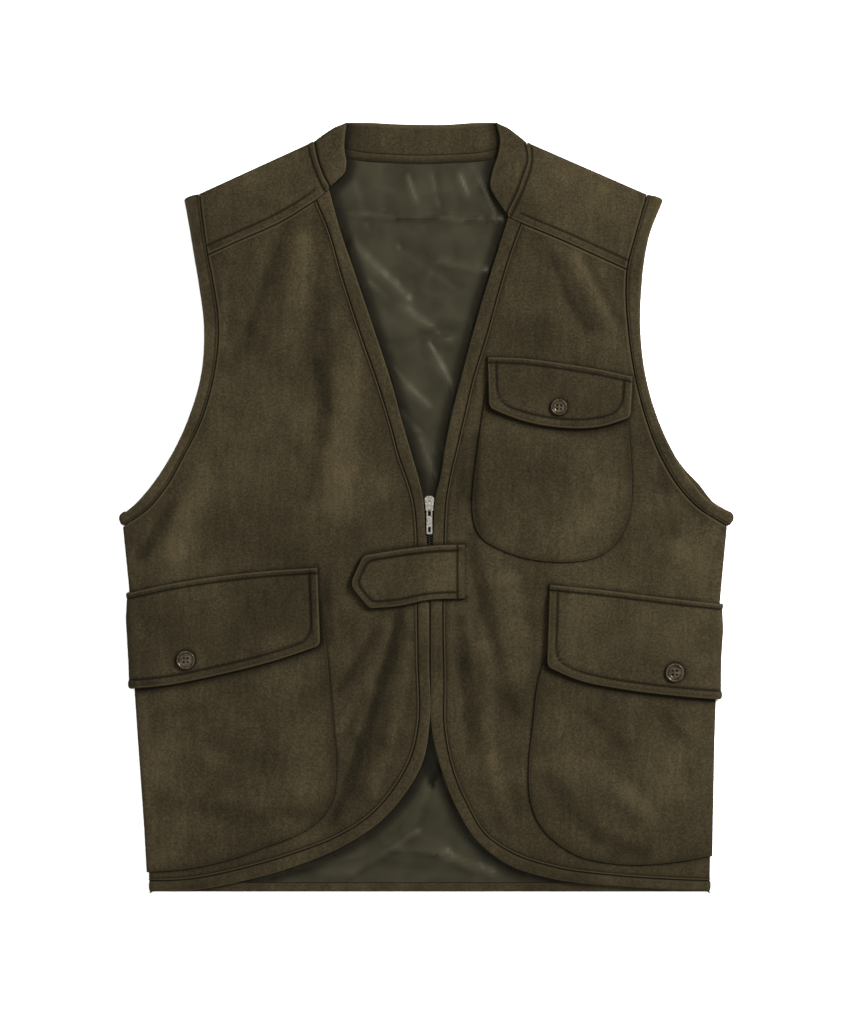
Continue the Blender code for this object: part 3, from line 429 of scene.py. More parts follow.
def lengths(points):
    """Distance run at each point of a polyline."""
    return np.concatenate(([0.0], np.cumsum(np.linalg.norm(np.diff(points, axis=0), axis=1))))


def resample(points, shares):
    """Points at shares of a polyline's length."""
    run = lengths(points)
    where = np.asarray(shares) * run[-1]
    return np.stack([np.interp(where, run, points[:, k]) for k in range(points.shape[1])], axis=1)


BLOCK = 3000                    # points worked out at a time, to save memory


def nearest_on(points, line):
    """Distance and direction from a polyline to each plan point."""
    run = np.diff(line, axis=0)
    square = (run ** 2).sum(axis=1)
    start, run, square = (values[square > 0] for values in (line[:-1], run, square))
    distance = np.empty(len(points))
    away = np.empty((len(points), 2))
    for first in range(0, len(points), BLOCK):
        part = points[first:first + BLOCK, None, :]
        share = np.clip(((part - start) * run).sum(axis=2) / square, 0, 1)
        offset = part - (start + share[..., None] * run)
        far = (offset ** 2).sum(axis=2)
        best = far.argmin(axis=1)
        rows = np.arange(len(best))
        distance[first:first + BLOCK] = np.sqrt(far[rows, best])
        away[first:first + BLOCK] = offset[rows, best]
    return distance, away


def distance_to(points, line):
    return nearest_on(points, line)[0]


def side_x(side, y):
    return np.interp(y, [row.y for row in SIDE_EDGES], [getattr(row, side) for row in SIDE_EDGES])


def across(section):
    way = np.array((section[2] - section[0], section[3] - section[1]))
    return way / np.linalg.norm(way)


def outward(section, inside):
    """Unit plan direction square to a section, away from a point inside the garment."""
    way = across(section)
    square = np.array((-way[1], way[0]))
    middle = np.array((section[0] + section[2], section[1] + section[3])) / 2
    return square if np.dot(square, middle - inside) > 0 else -square


def shoulder_tip(side):
    end = ARMHOLE[side][-1]
    return np.array(end[:2]) + outward(end, np.zeros(2)) * (FOLD_RADIUS + BAND)


def turned_lines(side):
    """The lines where front and back meet: the side seam and the shoulder."""
    down_side = np.array([(getattr(row, side), row.y) for row in SIDE_EDGES])
    return down_side, np.array((shoulder_tip(side), NECK_POINT[side]))


TURNED = {side: turned_lines(side) for side in SIDES}
BODY_CENTRE = np.array((0.0, 60.0))
FAR = 1e9
TOUCHING = 1e-6
BEYOND_SHARE = 0.8              # how squarely a point has to lie past an edge to count as on it


def turned_edge(points):
    """Distance from the nearest side seam or shoulder, and the plan direction inwards from it."""
    distance = np.full(len(points), FAR)
    inwards = np.zeros((len(points), 2))
    for side in SIDES:
        here = points[:, 0] < 0 if side == "right" else points[:, 0] >= 0
        if not here.any():
            continue
        for line in TURNED[side]:
            near, away = nearest_on(points[here], line)
            run = line[-1] - line[0]
            square = np.array((-run[1], run[0])) / np.linalg.norm(run)
            square = square if np.dot(square, BODY_CENTRE - line[0]) > 0 else -square
            near = np.where(away @ square < -BEYOND_SHARE * near, 0.0, near)
            way = np.where(near[:, None] > TOUCHING, away / np.maximum(near, TOUCHING)[:, None], square)
            closer = near < distance[here]
            rows = np.flatnonzero(here)[closer]
            distance[rows] = near[closer]
            inwards[rows] = way[closer]
    return distance, inwards


def fold_heights(points, table):
    """Height that a table of folds adds at plan points."""
    total = np.zeros(len(points))
    for fold in table:
        line = np.array(((fold.x1, fold.y1), (fold.x2, fold.y2)), dtype=float)
        distance = distance_to(points, line)
        total += fold.height * np.where(distance < fold.width,
                                        np.cos(np.pi * distance / fold.width / 2) ** 2, 0)
    return total


def rise(points):
    """Height of the fronts' inner face over the lining: none by a turned edge, then loft and folds."""
    distance, _ = turned_edge(points)
    height = LOFT + CREASE_GAIN * fold_heights(points, FOLDS) + fold_heights(points, CREASES)
    settled = (height + np.sqrt(height ** 2 + SETTLE ** 2)) / 2
    return settled * smooth((distance - ROLL) / FADE)


def front_place(points, off):
    """Points off the fronts' outer face, which turns down at the side seams and shoulders."""
    distance, inwards = turned_edge(points)
    flat = np.maximum(1 - distance / ROLL, 0.0)
    steep = np.sqrt(1 - flat ** 2)
    seam = SEAM_HEIGHT + GAP / 2
    face = FRONT_FLOOR + rise(points) + WALL
    plan = points - inwards * (off * flat)[:, None]
    return np.column_stack((plan, seam + (face - seam + off) * steep))


def back_place(points, off):
    """Points off the back's outer face, which rests on the floor and turns up at the same edges."""
    distance, inwards = turned_edge(points)
    flat = np.maximum(1 - distance / ROLL, 0.0)
    steep = np.sqrt(1 - flat ** 2)
    seam = SEAM_HEIGHT - GAP / 2
    plan = points - inwards * (off * flat)[:, None]
    return np.column_stack((plan, seam * (1 - steep) - off * steep))


def tab_place(points, off):
    """Points off the fronts' bands and panels under the tab."""
    over_bands = smooth((TAB_CLIMB_START - abs(points[:, 0] - ZIP_X)) / TAB_CLIMB)
    seat = FRONT_FLOOR + rise(points) + WALL + (BAND - WALL) * over_bands
    return np.column_stack((points, seat + off))


def free_edge(side):
    """The free edge of a front and its collar, from the hem to the top."""
    collar = COLLAR_RIGHT if side == "right" else COLLAR_LEFT[::-1]
    return np.vstack([Line(rows).every(LINE_STEP)[:, 2:] for rows in (FRONT_EDGE[side], collar)])


FREE_EDGE = {side: free_edge(side) for side in SIDES}
LINING_GAIN = 3.2
LINING_FADE = 8.0
# The deepest a lining crease goes, and the deepest painted shade in it
DEEPEST_LINING = -0.3
DARKEST_LINING = -0.6


def open_width(points):
    """How far inside the opening between the two fronts a plan point lies."""
    right, left = (np.interp(points[:, 1], *FREE_EDGE[side][np.argsort(FREE_EDGE[side][:, 1])].T[::-1])
                   for side in SIDES)
    return np.minimum(points[:, 0] - right, left - points[:, 0])


def lining_creases(points):
    """Creases of the lining, which stand only where nothing lies on it."""
    return fold_heights(points, LINING_FOLDS) * smooth(open_width(points) / LINING_FADE)


def lining_place(points, off):
    """Points off the lining, which lies level but for its creases."""
    creases = np.maximum(lining_creases(points), DEEPEST_LINING)
    return np.column_stack((points, off + LINING_GAIN * creases))


# Rows of stitches: the edge that each follows, how far in it lies, its line, and how the cloth stands by it
Seam = namedtuple("Seam", "edge inset line depth width puff")
# How an edge rounds, its painted shade, and where rubbed wear and painted highlight lie in from it; then how
# deep a groove is to take its full painted shade, and how seams puff
EDGE_ROUND = 1.3
EDGE_DROP = 0.75
EDGE_SHADE = 0.7
WEAR_AND_HIGHLIGHT_AT = 1.2
WEAR_AND_HIGHLIGHT_WIDTH = 0.8
DEEPEST_SEAM = 0.5
SEAM_SHADE = 0.92
PUFF_POWER = 0.8


def relief(points, seams, rounded):
    """Height added to a piece's outer face, the painted shade in its seams and at its edges, and the rubbed
    wear and painted highlight on the crown by its edges.
    """
    height = np.zeros(len(points))
    dark = np.zeros(len(points))
    worn = np.zeros(len(points))
    for edge in rounded:
        near = distance_to(points, edge)
        height -= EDGE_DROP * np.clip(1 - near / EDGE_ROUND, 0, 1) ** 2
        # Rubbed wear and painted highlight on the crown just in from a rounded edge, and painted shade at the
        # edge itself
        worn = np.maximum(worn, bell(near - WEAR_AND_HIGHLIGHT_AT, WEAR_AND_HIGHLIGHT_WIDTH))
        dark = np.maximum(dark, np.clip(1 - near / EDGE_SHADE, 0, 1))
    for seam in seams:
        near = distance_to(points, seam.line)
        groove = bell(near, seam.width)
        height -= seam.depth * groove
        # Painted shade in the seam's groove
        dark = np.maximum(dark, SEAM_SHADE * min(seam.depth / DEEPEST_SEAM, 1.0) * groove)
        if seam.puff:
            within = np.clip(distance_to(points, seam.edge) / seam.inset, 0, 1)
            height += seam.puff * np.sin(np.pi * within) ** PUFF_POWER
    return height, dark, worn


# Painted light on the fronts: shade in a trough, highlight on a ridge, and shade where a piece rolls down to
# its edge
FOLD_PAINTED_LIGHT = 0.45
CREASE_PAINTED_LIGHT = 0.7
BRIGHTEST_PAINTED_LIGHT = 0.45
ROLLED_PAINTED_SHADE = 0.45
ROLLED_REACH = 5.0


def nap_of(points, rounded):
    """Painted highlight above 0 and painted shade below 0 at plan points of the fronts."""
    nap = FOLD_PAINTED_LIGHT * fold_heights(points, FOLDS) + CREASE_PAINTED_LIGHT * fold_heights(points, CREASES)
    for edge in rounded:
        nap -= ROLLED_PAINTED_SHADE * bell(distance_to(points, edge), ROLLED_REACH)
    return np.clip(nap, -1, BRIGHTEST_PAINTED_LIGHT)


def add_mesh(name, points, faces, material, slot, **values):
    """A shaded mesh on the vest, from points in millimetres, with the values its material reads."""
    mesh = bpy.data.meshes.new(name)
    mesh.from_pydata((np.asarray(points) * MM).tolist(), [], faces)
    mesh.shade_smooth()
    mesh.set_sharp_from_angle(angle=math.radians(60))
    for label, value in values.items():
        mesh.attributes.new(label, "FLOAT", "POINT").data.foreach_set("value", value)
    mesh.materials.append(material)
    made = bpy.data.objects.new(name, mesh)
    bpy.context.collection.objects.link(made)
    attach(made, BODY)
    return made


def fix_normals(made):
    """Turns a closed mesh's faces outwards."""
    shape = bmesh.new()
    shape.from_mesh(made.data)
    bmesh.ops.recalc_face_normals(shape, faces=shape.faces)
    shape.to_mesh(made.data)
    shape.free()


# Distances in from an edge of the grid's lines, which are close together where stitches lie
GRID_LINES = {
    "plain": (0.0,),
    "edge": (0, 0.5, 1.0, 1.5, 2.0, 2.5, 3.1, 4.0, 5.5),
    "sewn": (0, 0.5, 1.0, 1.5, 2.0, 2.6, 3.3, 4.0, 4.6, 5.1, 5.6, 6.1, 6.6, 7.1, 7.6, 8.1, 8.6, 9.4, 11.0),
    "turned": (*(ROLL * (1 - np.cos(np.linspace(0, math.pi / 2, ROLL_TURNS + 1)))), 6.0, 9.0),
}


def lines_between(length, step, first, last):
    """Shares of a length for a grid's lines."""
    start = np.array(GRID_LINES[first])
    end = length - np.array(GRID_LINES[last])[::-1]
    count = max(round((end[0] - start[-1]) / step), 1)
    middle = np.linspace(start[-1], end[0], count + 1)[1:-1]
    return np.concatenate((start, middle, end)) / length


def patch(edges, step, kinds):
    """A grid of plan points inside four edges: foot and top run inwards, outer and inner run upwards."""
    foot, top, outer, inner = edges
    u = lines_between(max(lengths(foot)[-1], lengths(top)[-1]), step, kinds[2], kinds[3])
    v = lines_between(max(lengths(outer)[-1], lengths(inner)[-1]), step, kinds[0], kinds[1])
    foot, top = resample(foot, u), resample(top, u)
    outer, inner = resample(outer, v), resample(inner, v)
    u, v = u[None, :, None], v[:, None, None]
    corners = ((1 - u) * ((1 - v) * foot[0] + v * top[0]) + u * ((1 - v) * foot[-1] + v * top[-1]))
    return ((1 - u) * outer[:, None] + u * inner[:, None] + (1 - v) * foot[None] + v * top[None] - corners)


def wall_faces(rows, columns):
    """Faces of a closed wall over a grid: its outer face, its inner face and its rim."""
    at = np.arange(rows * columns).reshape(rows, columns)
    cells = np.stack((at[:-1, :-1], at[:-1, 1:], at[1:, 1:], at[1:, :-1]), axis=-1).reshape(-1, 4)
    rim = np.concatenate((at[0, :-1], at[:-1, -1], at[-1, :0:-1], at[:0:-1, 0]))
    beyond = np.roll(rim, -1)
    under = rows * columns
    edge = np.stack((beyond, rim, rim + under, beyond + under), axis=-1)
    return np.concatenate((cells, cells[:, ::-1] + under, edge))


def middle_of(plan):
    """The mean of a grid of plan points."""
    return plan.reshape(-1, 2).mean(axis=0)


STITCH_START = 0.14
STITCH_END = 0.86
stitch_runs = []


class Cloth:
    """A cut piece of cloth that lies on a face, with its rows of stitches."""

    def __init__(self, place, low, high, seams=(), rounded=(), wear_and_highlight_gain=1.0):
        self.place = place
        self.low = low
        self.high = high
        self.seams = seams
        self.rounded = rounded
        self.wear_and_highlight_gain = wear_and_highlight_gain

    def top(self, points):
        height, dark, worn = relief(points, self.seams, self.rounded)
        # The rubbed wear and painted highlight, scaled for this piece
        return self.place(points, self.high(points) + height), dark, worn * self.wear_and_highlight_gain

    def make(self, node, plan, material, slot, shade=None):
        """The piece that stands for a node of the solids, sewn."""
        rows, columns = plan.shape[:2]
        points = plan.reshape(-1, 2)
        top, dark, worn = self.top(points)
        # Painted shadow from what lies on the piece
        if shade is not None:
            dark = np.maximum(dark, shade(points))
        under = self.place(points, self.low(points))
        faces = wall_faces(rows, columns)
        corners = top[faces[len(faces) // 4]]
        facing = np.sign(top[:, 2].mean() - under[:, 2].mean())
        if np.cross(corners[1] - corners[0], corners[2] - corners[0])[2] * facing < 0:
            faces = faces[:, ::-1]
        # Painted shade and highlight from folds, creases and edges
        nap = self.nap(points)
        made = add_mesh(node + "_cloth", np.vstack((top, under)), faces.tolist(), material, slot,
                        dark=np.tile(dark, 2), worn=np.tile(worn, 2), nap=np.tile(nap, 2))
        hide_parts(node)
        for seam in self.seams:
            self.sew(seam.line)

    def nap(self, points):
        """Painted shade and highlight on the fronts and what is on them, from folds, creases and rolled
        edges; painted highlight and shade on the lining's creases; none on the back.
        """
        if self.place is back_place:
            return np.zeros(len(points))
        if self.place is lining_place:
            return np.clip(lining_creases(points), DARKEST_LINING, 1)
        return nap_of(points, self.rounded)

    def sew(self, line, pitch=STITCH_PITCH):
        """Keeps where the stitches along a plan line start and end. They become one mesh at the end."""
        run = lengths(line)[-1]
        count = max(int(run / pitch), 1)
        starts = resample(line, (np.arange(count) + STITCH_START) / count)
        ends = resample(line, (np.arange(count) + STITCH_END) / count)
        stitch_runs.append((self.top(starts)[0], self.top(ends)[0]))


def constant(value):
    """The same value at every point."""
    return lambda points: np.full(len(points), float(value))


EASE_STEP = 1.5
EASE_SAMPLES = np.linspace(-1, 1, 15)


def eased(line, reach):
    """A plan line whose corners are rounded over a reach to each side of them."""
    run = lengths(line)
    where = np.linspace(0, run[-1], max(round(run[-1] / EASE_STEP), 4) + 1)
    reach = np.minimum(reach, np.minimum(where, run[-1] - where))
    spread = where[:, None] + reach[:, None] * EASE_SAMPLES
    return np.stack([np.interp(spread, run, line[:, k]).mean(axis=1) for k in (0, 1)], axis=1)


def round_corner(first, second, reach):
    """Two edges, the second from where the first ends, with the corner between them rounded."""
    joined = eased(np.vstack((first, second[1:])), reach)
    corner = np.linalg.norm(joined - second[0], axis=1).argmin()
    return joined[:corner + 1], joined[corner:]


def inset_line(edge, distance, inside, first=0.0, last=0.0):
    """A plan line set in from an edge towards a point inside the piece, and stopped short of its ends."""
    run = np.gradient(edge, axis=0)
    square = np.column_stack((-run[:, 1], run[:, 0]))
    square /= np.linalg.norm(square, axis=1)[:, None]
    middle = len(edge) // 2
    if np.dot(square[middle], np.array(inside) - edge[middle]) < 0:
        square = -square
    line = edge + square * distance
    run = lengths(line)[-1]
    return resample(line, np.linspace(first / run, 1 - last / run, max(round(run / 2.0), 4)))


# How each row is sewn: how far in from its edge, how deep and wide its groove is, and how the cloth puffs
Sewn = namedtuple("Sewn", "inset depth width puff")
FRONT_SEWN = Sewn(2.2, 0.4, 0.7, 0.5)
YOKE_SEWN = Sewn(8.0, 0.6, 1.0, 0.5)
COLLAR_SEWN = {"right": Sewn(6.0, 0.6, 1.0, 0.5), "left": Sewn(4.8, 0.6, 1.0, 0.5)}
POCKET_SEWN = Sewn(1.6, 0.18, 0.5, 0.0)
FLAP_TOP_SEWN = Sewn(5.6, 0.8, 1.0, 0.4)
FLAP_SEWN = Sewn(8.1, 0.8, 1.2, 1.0)
TAB_SEWN = Sewn(6.2, 0.8, 1.2, 1.1)
TAB_END_SEWN = Sewn(7.2, 0.6, 1.0, 0.5)
TAB_EDGE_SEWN = Sewn(1.6, 0.2, 0.5, 0.0)
BOX_SEWN = Sewn(1.0, 0.25, 0.6, 0.0)
BOX_POINTS = 24


def stitched(edge, sewn, inside, first=0.0, last=0.0, ease=2.2):
    """A row of stitches inside an edge, with the edge's corners turned in a curve."""
    line = inset_line(eased(edge, ease * sewn.inset), sewn.inset, inside, first, last)
    return Seam(edge, sewn.inset, line, sewn.depth, sewn.width, sewn.puff)


def box_stitch(x1, y1, x2, y2):
    """A small stitched box with a shallow groove."""
    corners = np.array(((x1, y1), (x2, y1), (x2, y2), (x1, y2), (x1, y1)), dtype=float)
    line = resample(corners, np.linspace(0, 1, BOX_POINTS))
    return Seam(corners, BOX_SEWN.inset, line, BOX_SEWN.depth, BOX_SEWN.width, BOX_SEWN.puff)


# Thread: each stitch is a short bowed rod
STITCH_RADIUS = 0.24
STITCH_SIDES = 5
StitchRing = namedtuple("StitchRing", "along radius lift")
STITCH_RINGS = (
    StitchRing(0.0, 0.35, -1.4),
    StitchRing(0.18, 0.95, -0.5),
    StitchRing(0.5, 1.0, -0.2),
    StitchRing(0.82, 0.95, -0.5),
    StitchRing(1.0, 0.35, -1.4),
)


def stitch_mesh(name, starts, ends, material, slot):
    """All the stitches as one mesh."""
    along = ends - starts
    up = np.array((0.0, 0.0, 1.0))
    side = np.cross(along, up)
    side /= np.linalg.norm(side, axis=1)[:, None]
    rings = []
    for ring in STITCH_RINGS:
        centre = starts + along * ring.along + up * STITCH_RADIUS * ring.lift
        for k in range(STITCH_SIDES):
            turn = 2 * math.pi * k / STITCH_SIDES
            reach = STITCH_RADIUS * ring.radius
            rings.append(centre + side * reach * math.cos(turn) + up * reach * math.sin(turn))
    points = np.stack(rings, axis=1).reshape(-1, 3)
    per = len(STITCH_RINGS) * STITCH_SIDES
    faces = ring_faces(len(STITCH_RINGS), STITCH_SIDES)[:, [0, 3, 2, 1]].tolist()
    caps = [tuple(range(STITCH_SIDES)), tuple(range(per - 1, per - 1 - STITCH_SIDES, -1))]
    every = []
    for stitch in range(len(starts)):
        base = stitch * per
        every += [tuple(base + index for index in face) for face in (*faces, *caps)]
    add_mesh(name, points, every, material, slot)


# Materials


def linear(hex_colour):
    """A hex sRGB colour as linear values."""
    channels = [int(hex_colour[k:k + 2], 16) / 255 for k in (1, 3, 5)]
    return [c / 12.92 if c <= 0.04045 else ((c + 0.055) / 1.055) ** 2.4 for c in channels] + [1.0]


def scale_of(size_mm):
    """Texture scale whose features are about a size in millimetres, on coordinates in metres."""
    return 1000.0 / size_mm


def add(tree, kind, settings=(), links=()):
    """A node with its settings, by attribute or socket name, and its links."""
    made = tree.nodes.new(kind)
    for key, value in dict(settings).items():
        if isinstance(key, str) and hasattr(made, key):
            setattr(made, key, value)
        else:
            made.inputs[key].default_value = value
    for key, source in dict(links).items():
        tree.links.new(source, made.inputs[key])
    return made


def new_material(name):
    """A material with its node tree, its Principled shader and the place on its piece."""
    made = bpy.data.materials.new(name)
    made.use_nodes = True
    tree = made.node_tree
    return made, tree, tree.nodes["Principled BSDF"], add(tree, "ShaderNodeTexCoord").outputs["Object"]


def noise(tree, place, size_mm, **settings):
    """A cloudy value with features of about a size in millimetres."""
    inputs = {label.capitalize(): value for label, value in settings.items()}
    inputs["Scale"] = scale_of(size_mm)
    return add(tree, "ShaderNodeTexNoise", inputs, {"Vector": place}).outputs["Fac"]


def bump(tree, height, strength, distance, over=None):
    """A small relief, its distance in metres, alone or over another."""
    links = {"Height": height} if over is None else {"Height": height, "Normal": over}
    return add(tree, "ShaderNodeBump", {"Strength": strength, "Distance": distance}, links).outputs[0]


def mix(tree, share, first, second):
    """A value between two others."""
    return add(tree, "ShaderNodeMix", {"Factor": share}, {2: first, 3: second}).outputs[0]


def read(tree, label):
    """One of a piece's own values: its painted shade, its rubbed wear and painted highlight, or its painted
    light.
    """
    return add(tree, "ShaderNodeAttribute", {"attribute_name": label}).outputs["Fac"]


def math_node(tree, operation, source, factor, plus=None):
    """A value times a factor, and plus another value or number."""
    settings = {"operation": operation, 1: factor}
    links = {0: source}
    if plus is not None:
        (settings if isinstance(plus, float) else links)[2] = plus
    return add(tree, "ShaderNodeMath", settings, links).outputs[0]


def dress(tree, shader, colour, values, normal=None):
    """Gives a shader its colour, its constant values and its relief."""
    tree.links.new(colour, shader.inputs["Base Color"])
    if normal is not None:
        tree.links.new(normal, shader.inputs["Normal"])
    for label, value in values.items():
        shader.inputs[label].default_value = value


def ramp(tree, source, stops):
    """Colours along a value."""
    made = add(tree, "ShaderNodeValToRGB", links={"Fac": source})
    elements = made.color_ramp.elements
    while len(elements) < len(stops):
        elements.new(0.5)
    for element, (place, colour) in zip(elements, stops):
        element.position = place
        element.color = linear(colour)
    return made.outputs["Color"]


def shaded(tree, colour, label, strength, tint):
    """A colour that turns towards a tint where a piece's own values say so, such as the painted shade in its
    seams.
    """
    value = math_node(tree, "MULTIPLY", read(tree, label), strength)
    return add(tree, "ShaderNodeMix", {"data_type": "RGBA", 7: linear(tint)},
               {"Factor": value, 6: colour}).outputs[2]


# Sizes in the suede's nap: soft clouds where it has been stroked, streaks along the brushing, and specks
CLOUD_MM = 95.0
PATCH_MM = 24.0
STREAK_MM = 5.0
SPECK_MM = 2.0
FIBRE_MM = 0.8


def brushed_suede():
    """Faux suede, brushed polyester microfibre: matt and dark, specked, and mottled where its nap lies in
    different ways. The nap gives a faint light bloom at a low angle."""
    made, tree, shader, place = new_material("brushed_suede")
    cloud = noise(tree, place, CLOUD_MM, detail=2.0, roughness=0.5, distortion=0.4)
    blotch = noise(tree, place, PATCH_MM, detail=1.5, roughness=0.5, distortion=0.3)
    drawn = add(tree, "ShaderNodeMapping", {"Scale": (1.0, 0.16, 1.0)}, {"Vector": place}).outputs["Vector"]
    streak = noise(tree, drawn, STREAK_MM, detail=2.0)
    speck = noise(tree, place, SPECK_MM, detail=3.0, roughness=0.75)
    nap = mix(tree, 0.45, mix(tree, 0.2, mix(tree, 0.25, cloud, blotch), streak), speck)
    # Painted shade in troughs and by edges, and painted highlight on ridges, added to the mottle
    nap = math_node(tree, "MULTIPLY_ADD", read(tree, "nap"), 0.12, nap)
    colour = ramp(tree, nap, ((0.28, "#100D07"), (0.4, "#1A160D"), (0.5, "#241F14"), (0.6, "#302A1C"),
                              (0.72, "#3C3425")))
    # Rubbed wear and painted highlight along edges and ridges
    colour = shaded(tree, colour, "worn", 0.5, "#3A3323")
    # Painted shade in seams and at edges, and painted shadow beside what lies on the cloth
    colour = shaded(tree, colour, "dark", 1.0, "#080603")
    fibre = noise(tree, place, FIBRE_MM, detail=2.0)
    dress(tree, shader, colour, {"Roughness": 0.95, "Specular IOR Level": 0.04, "Sheen Weight": 0.03,
                                 "Sheen Roughness": 0.5, "Sheen Tint": linear("#B39F78")},
          bump(tree, fibre, 0.6, 0.0002, bump(tree, blotch, 0.5, 0.0009)))
    return made


# Size of the soft facets that the satin crumples into, how far they bend, in metres, and its weave's width
CRUMPLE_MM = 26.0
CRUMPLE_BEND = 0.03
WEAVE_MM = 2.4


def satin_lining():
    """Polyester satin, woven with long floats: smooth, with a soft wide shine on its creases. Its colour
    carries painted shade and highlight on its crumpled facets and creases.
    """
    made, tree, shader, place = new_material("satin_lining")
    bent = add(tree, "ShaderNodeTexNoise", {"Scale": scale_of(CRUMPLE_MM), "Detail": 1.0},
               {"Vector": place}).outputs["Color"]
    bent = add(tree, "ShaderNodeVectorMath", {"operation": "SCALE", "Scale": CRUMPLE_BEND},
               {0: bent}).outputs[0]
    bent = add(tree, "ShaderNodeVectorMath", links={0: place, 1: bent}).outputs[0]
    crumple = add(tree, "ShaderNodeTexVoronoi", {"feature": "SMOOTH_F1", "Scale": scale_of(CRUMPLE_MM),
                                                 "Smoothness": 0.5}, {"Vector": bent}).outputs["Distance"]
    # Painted shade and highlight on the crumpled facets
    tone = math_node(tree, "MULTIPLY_ADD", crumple, 0.45, 0.3)
    # Painted highlight on the creases' ridges and painted shade in their troughs
    tone = math_node(tree, "MULTIPLY_ADD", read(tree, "nap"), 0.25, tone)
    colour = ramp(tree, tone, ((0.15, "#16150E"), (0.5, "#1F1D15"), (0.85, "#2A281E")))
    # Painted shade by the fronts' free edges, deepest where they nearly meet and below the zip
    colour = shaded(tree, colour, "dark", 1.0, "#030302")
    warp = add(tree, "ShaderNodeTexWave", {"Scale": scale_of(WEAVE_MM), "Distortion": 1.0},
               {"Vector": place}).outputs["Fac"]
    dress(tree, shader, colour, {"Roughness": 0.42, "Specular IOR Level": 0.12,
                                 "Specular Tint": linear("#C4BBA0"), "Anisotropic": 0.3},
          bump(tree, warp, 0.1, 0.0001, bump(tree, crumple, 0.5, 0.004)))
    return made


PLY_MM = 0.6
RIB_MM = 1.5
FIGURE_MM = 5.0


def sewing_thread():
    """Spun polyester thread, a shade darker than the suede and a little smoother."""
    made, tree, shader, place = new_material("sewing_thread")
    colour = ramp(tree, noise(tree, place, PLY_MM), ((0.3, "#0B0804"), (0.7, "#151008")))
    dress(tree, shader, colour, {"Roughness": 0.7, "Specular IOR Level": 0.06})
    return made


def zip_tape_weave():
    """Woven polyester tape, nearly black, with a fine rib across it."""
    made, tree, shader, place = new_material("zip_tape_weave")
    rib = add(tree, "ShaderNodeTexWave", {"Scale": scale_of(RIB_MM)}, {"Vector": place}).outputs["Fac"]
    colour = ramp(tree, rib, ((0.0, "#060504"), (1.0, "#0F0D09")))
    dress(tree, shader, colour, {"Roughness": 0.8, "Specular IOR Level": 0.06}, bump(tree, rib, 0.4, 0.0002))
    return made


def metal_finish(name, low, high, smoothest, roughest, mark_mm):
    """A plated metal: its colour between two tones, with fine marks from use that dull it in places."""
    made, tree, shader, place = new_material(name)
    marks = noise(tree, place, mark_mm, detail=3.0)
    dress(tree, shader, ramp(tree, marks, ((0.3, low), (0.7, high))), {"Metallic": 1.0})
    rough = add(tree, "ShaderNodeMapRange", {"To Min": smoothest, "To Max": roughest}, {"Value": marks})
    tree.links.new(rough.outputs[0], shader.inputs["Roughness"])
    return made


def horn_resin():
    """Cast polyester resin with a grey-brown horn figure, turned and polished to a gloss."""
    made, tree, shader, place = new_material("horn_resin")
    figure = noise(tree, place, FIGURE_MM, detail=3.0, distortion=1.5)
    # Painted shade in the groove inside the rim
    colour = shaded(tree, ramp(tree, figure, ((0.35, "#1A1610"), (0.65, "#3B342A"))), "dark", 1.0, "#040302")
    dress(tree, shader, colour, {"Roughness": 0.22, "Specular IOR Level": 0.35,
                                 "Specular Tint": linear("#A8987E")})
    return made


SUEDE = brushed_suede()
SATIN = satin_lining()
THREAD = sewing_thread()
TAPE = zip_tape_weave()
NICKEL = metal_finish("bright_nickel_plate", "#77736A", "#B9B5AA", 0.12, 0.3, 1.6)
BLACKENED = metal_finish("blackened_brass", "#141210", "#2B2823", 0.35, 0.6, 1.2)
HORN = horn_resin()

# The pieces


def up_side(side, low, high):
    """The side edge from one height to another."""
    heights = np.linspace(low, high, SIDE_POINTS)
    return np.column_stack((side_x(side, heights), heights))


# Painted shadow on cloth beside what lies on it: how dark, and how far that reaches
Cast = namedtuple("Cast", "depth reach")
TAB_CAST = Cast(0.75, 3.0)
TAB_ON_BAND_CAST = Cast(0.7, 2.6)
POCKET_CAST = Cast(0.6, 1.5)
FLAP_CAST = Cast(0.6, 2.6)
FLAP_TOP_CAST = Cast(0.6, 1.6)
FLAP_ON_POCKET_CAST = Cast(0.9, 4.6)


def shade_beside(*edges):
    """Shade on cloth beside the edges of what lies on it."""
    def shade(points):
        return np.maximum.reduce([cast.depth * bell(distance_to(points[:, :2], line), cast.reach)
                                  for line, cast in edges])
    return shade


def flap_casts(edges):
    """The shade beside a flap's free edge and above its top."""
    return [(edges[-1], FLAP_CAST), (edges[1], FLAP_TOP_CAST)]


# Small stitched boxes and bar tacks on the fronts
FRONT_BOXES = {
    "right": (box_stitch(-252.5, -343, -245.5, -333.5),),
    "left": (box_stitch(18.5, -198, 26, -178),),
}
Tack = namedtuple("Tack", "x1 y1 x2 y2")
FRONT_TACKS = {"right": (Tack(-24, 9.5, -18.5, 9.5),), "left": ()}
TACK_PITCH = 1.0


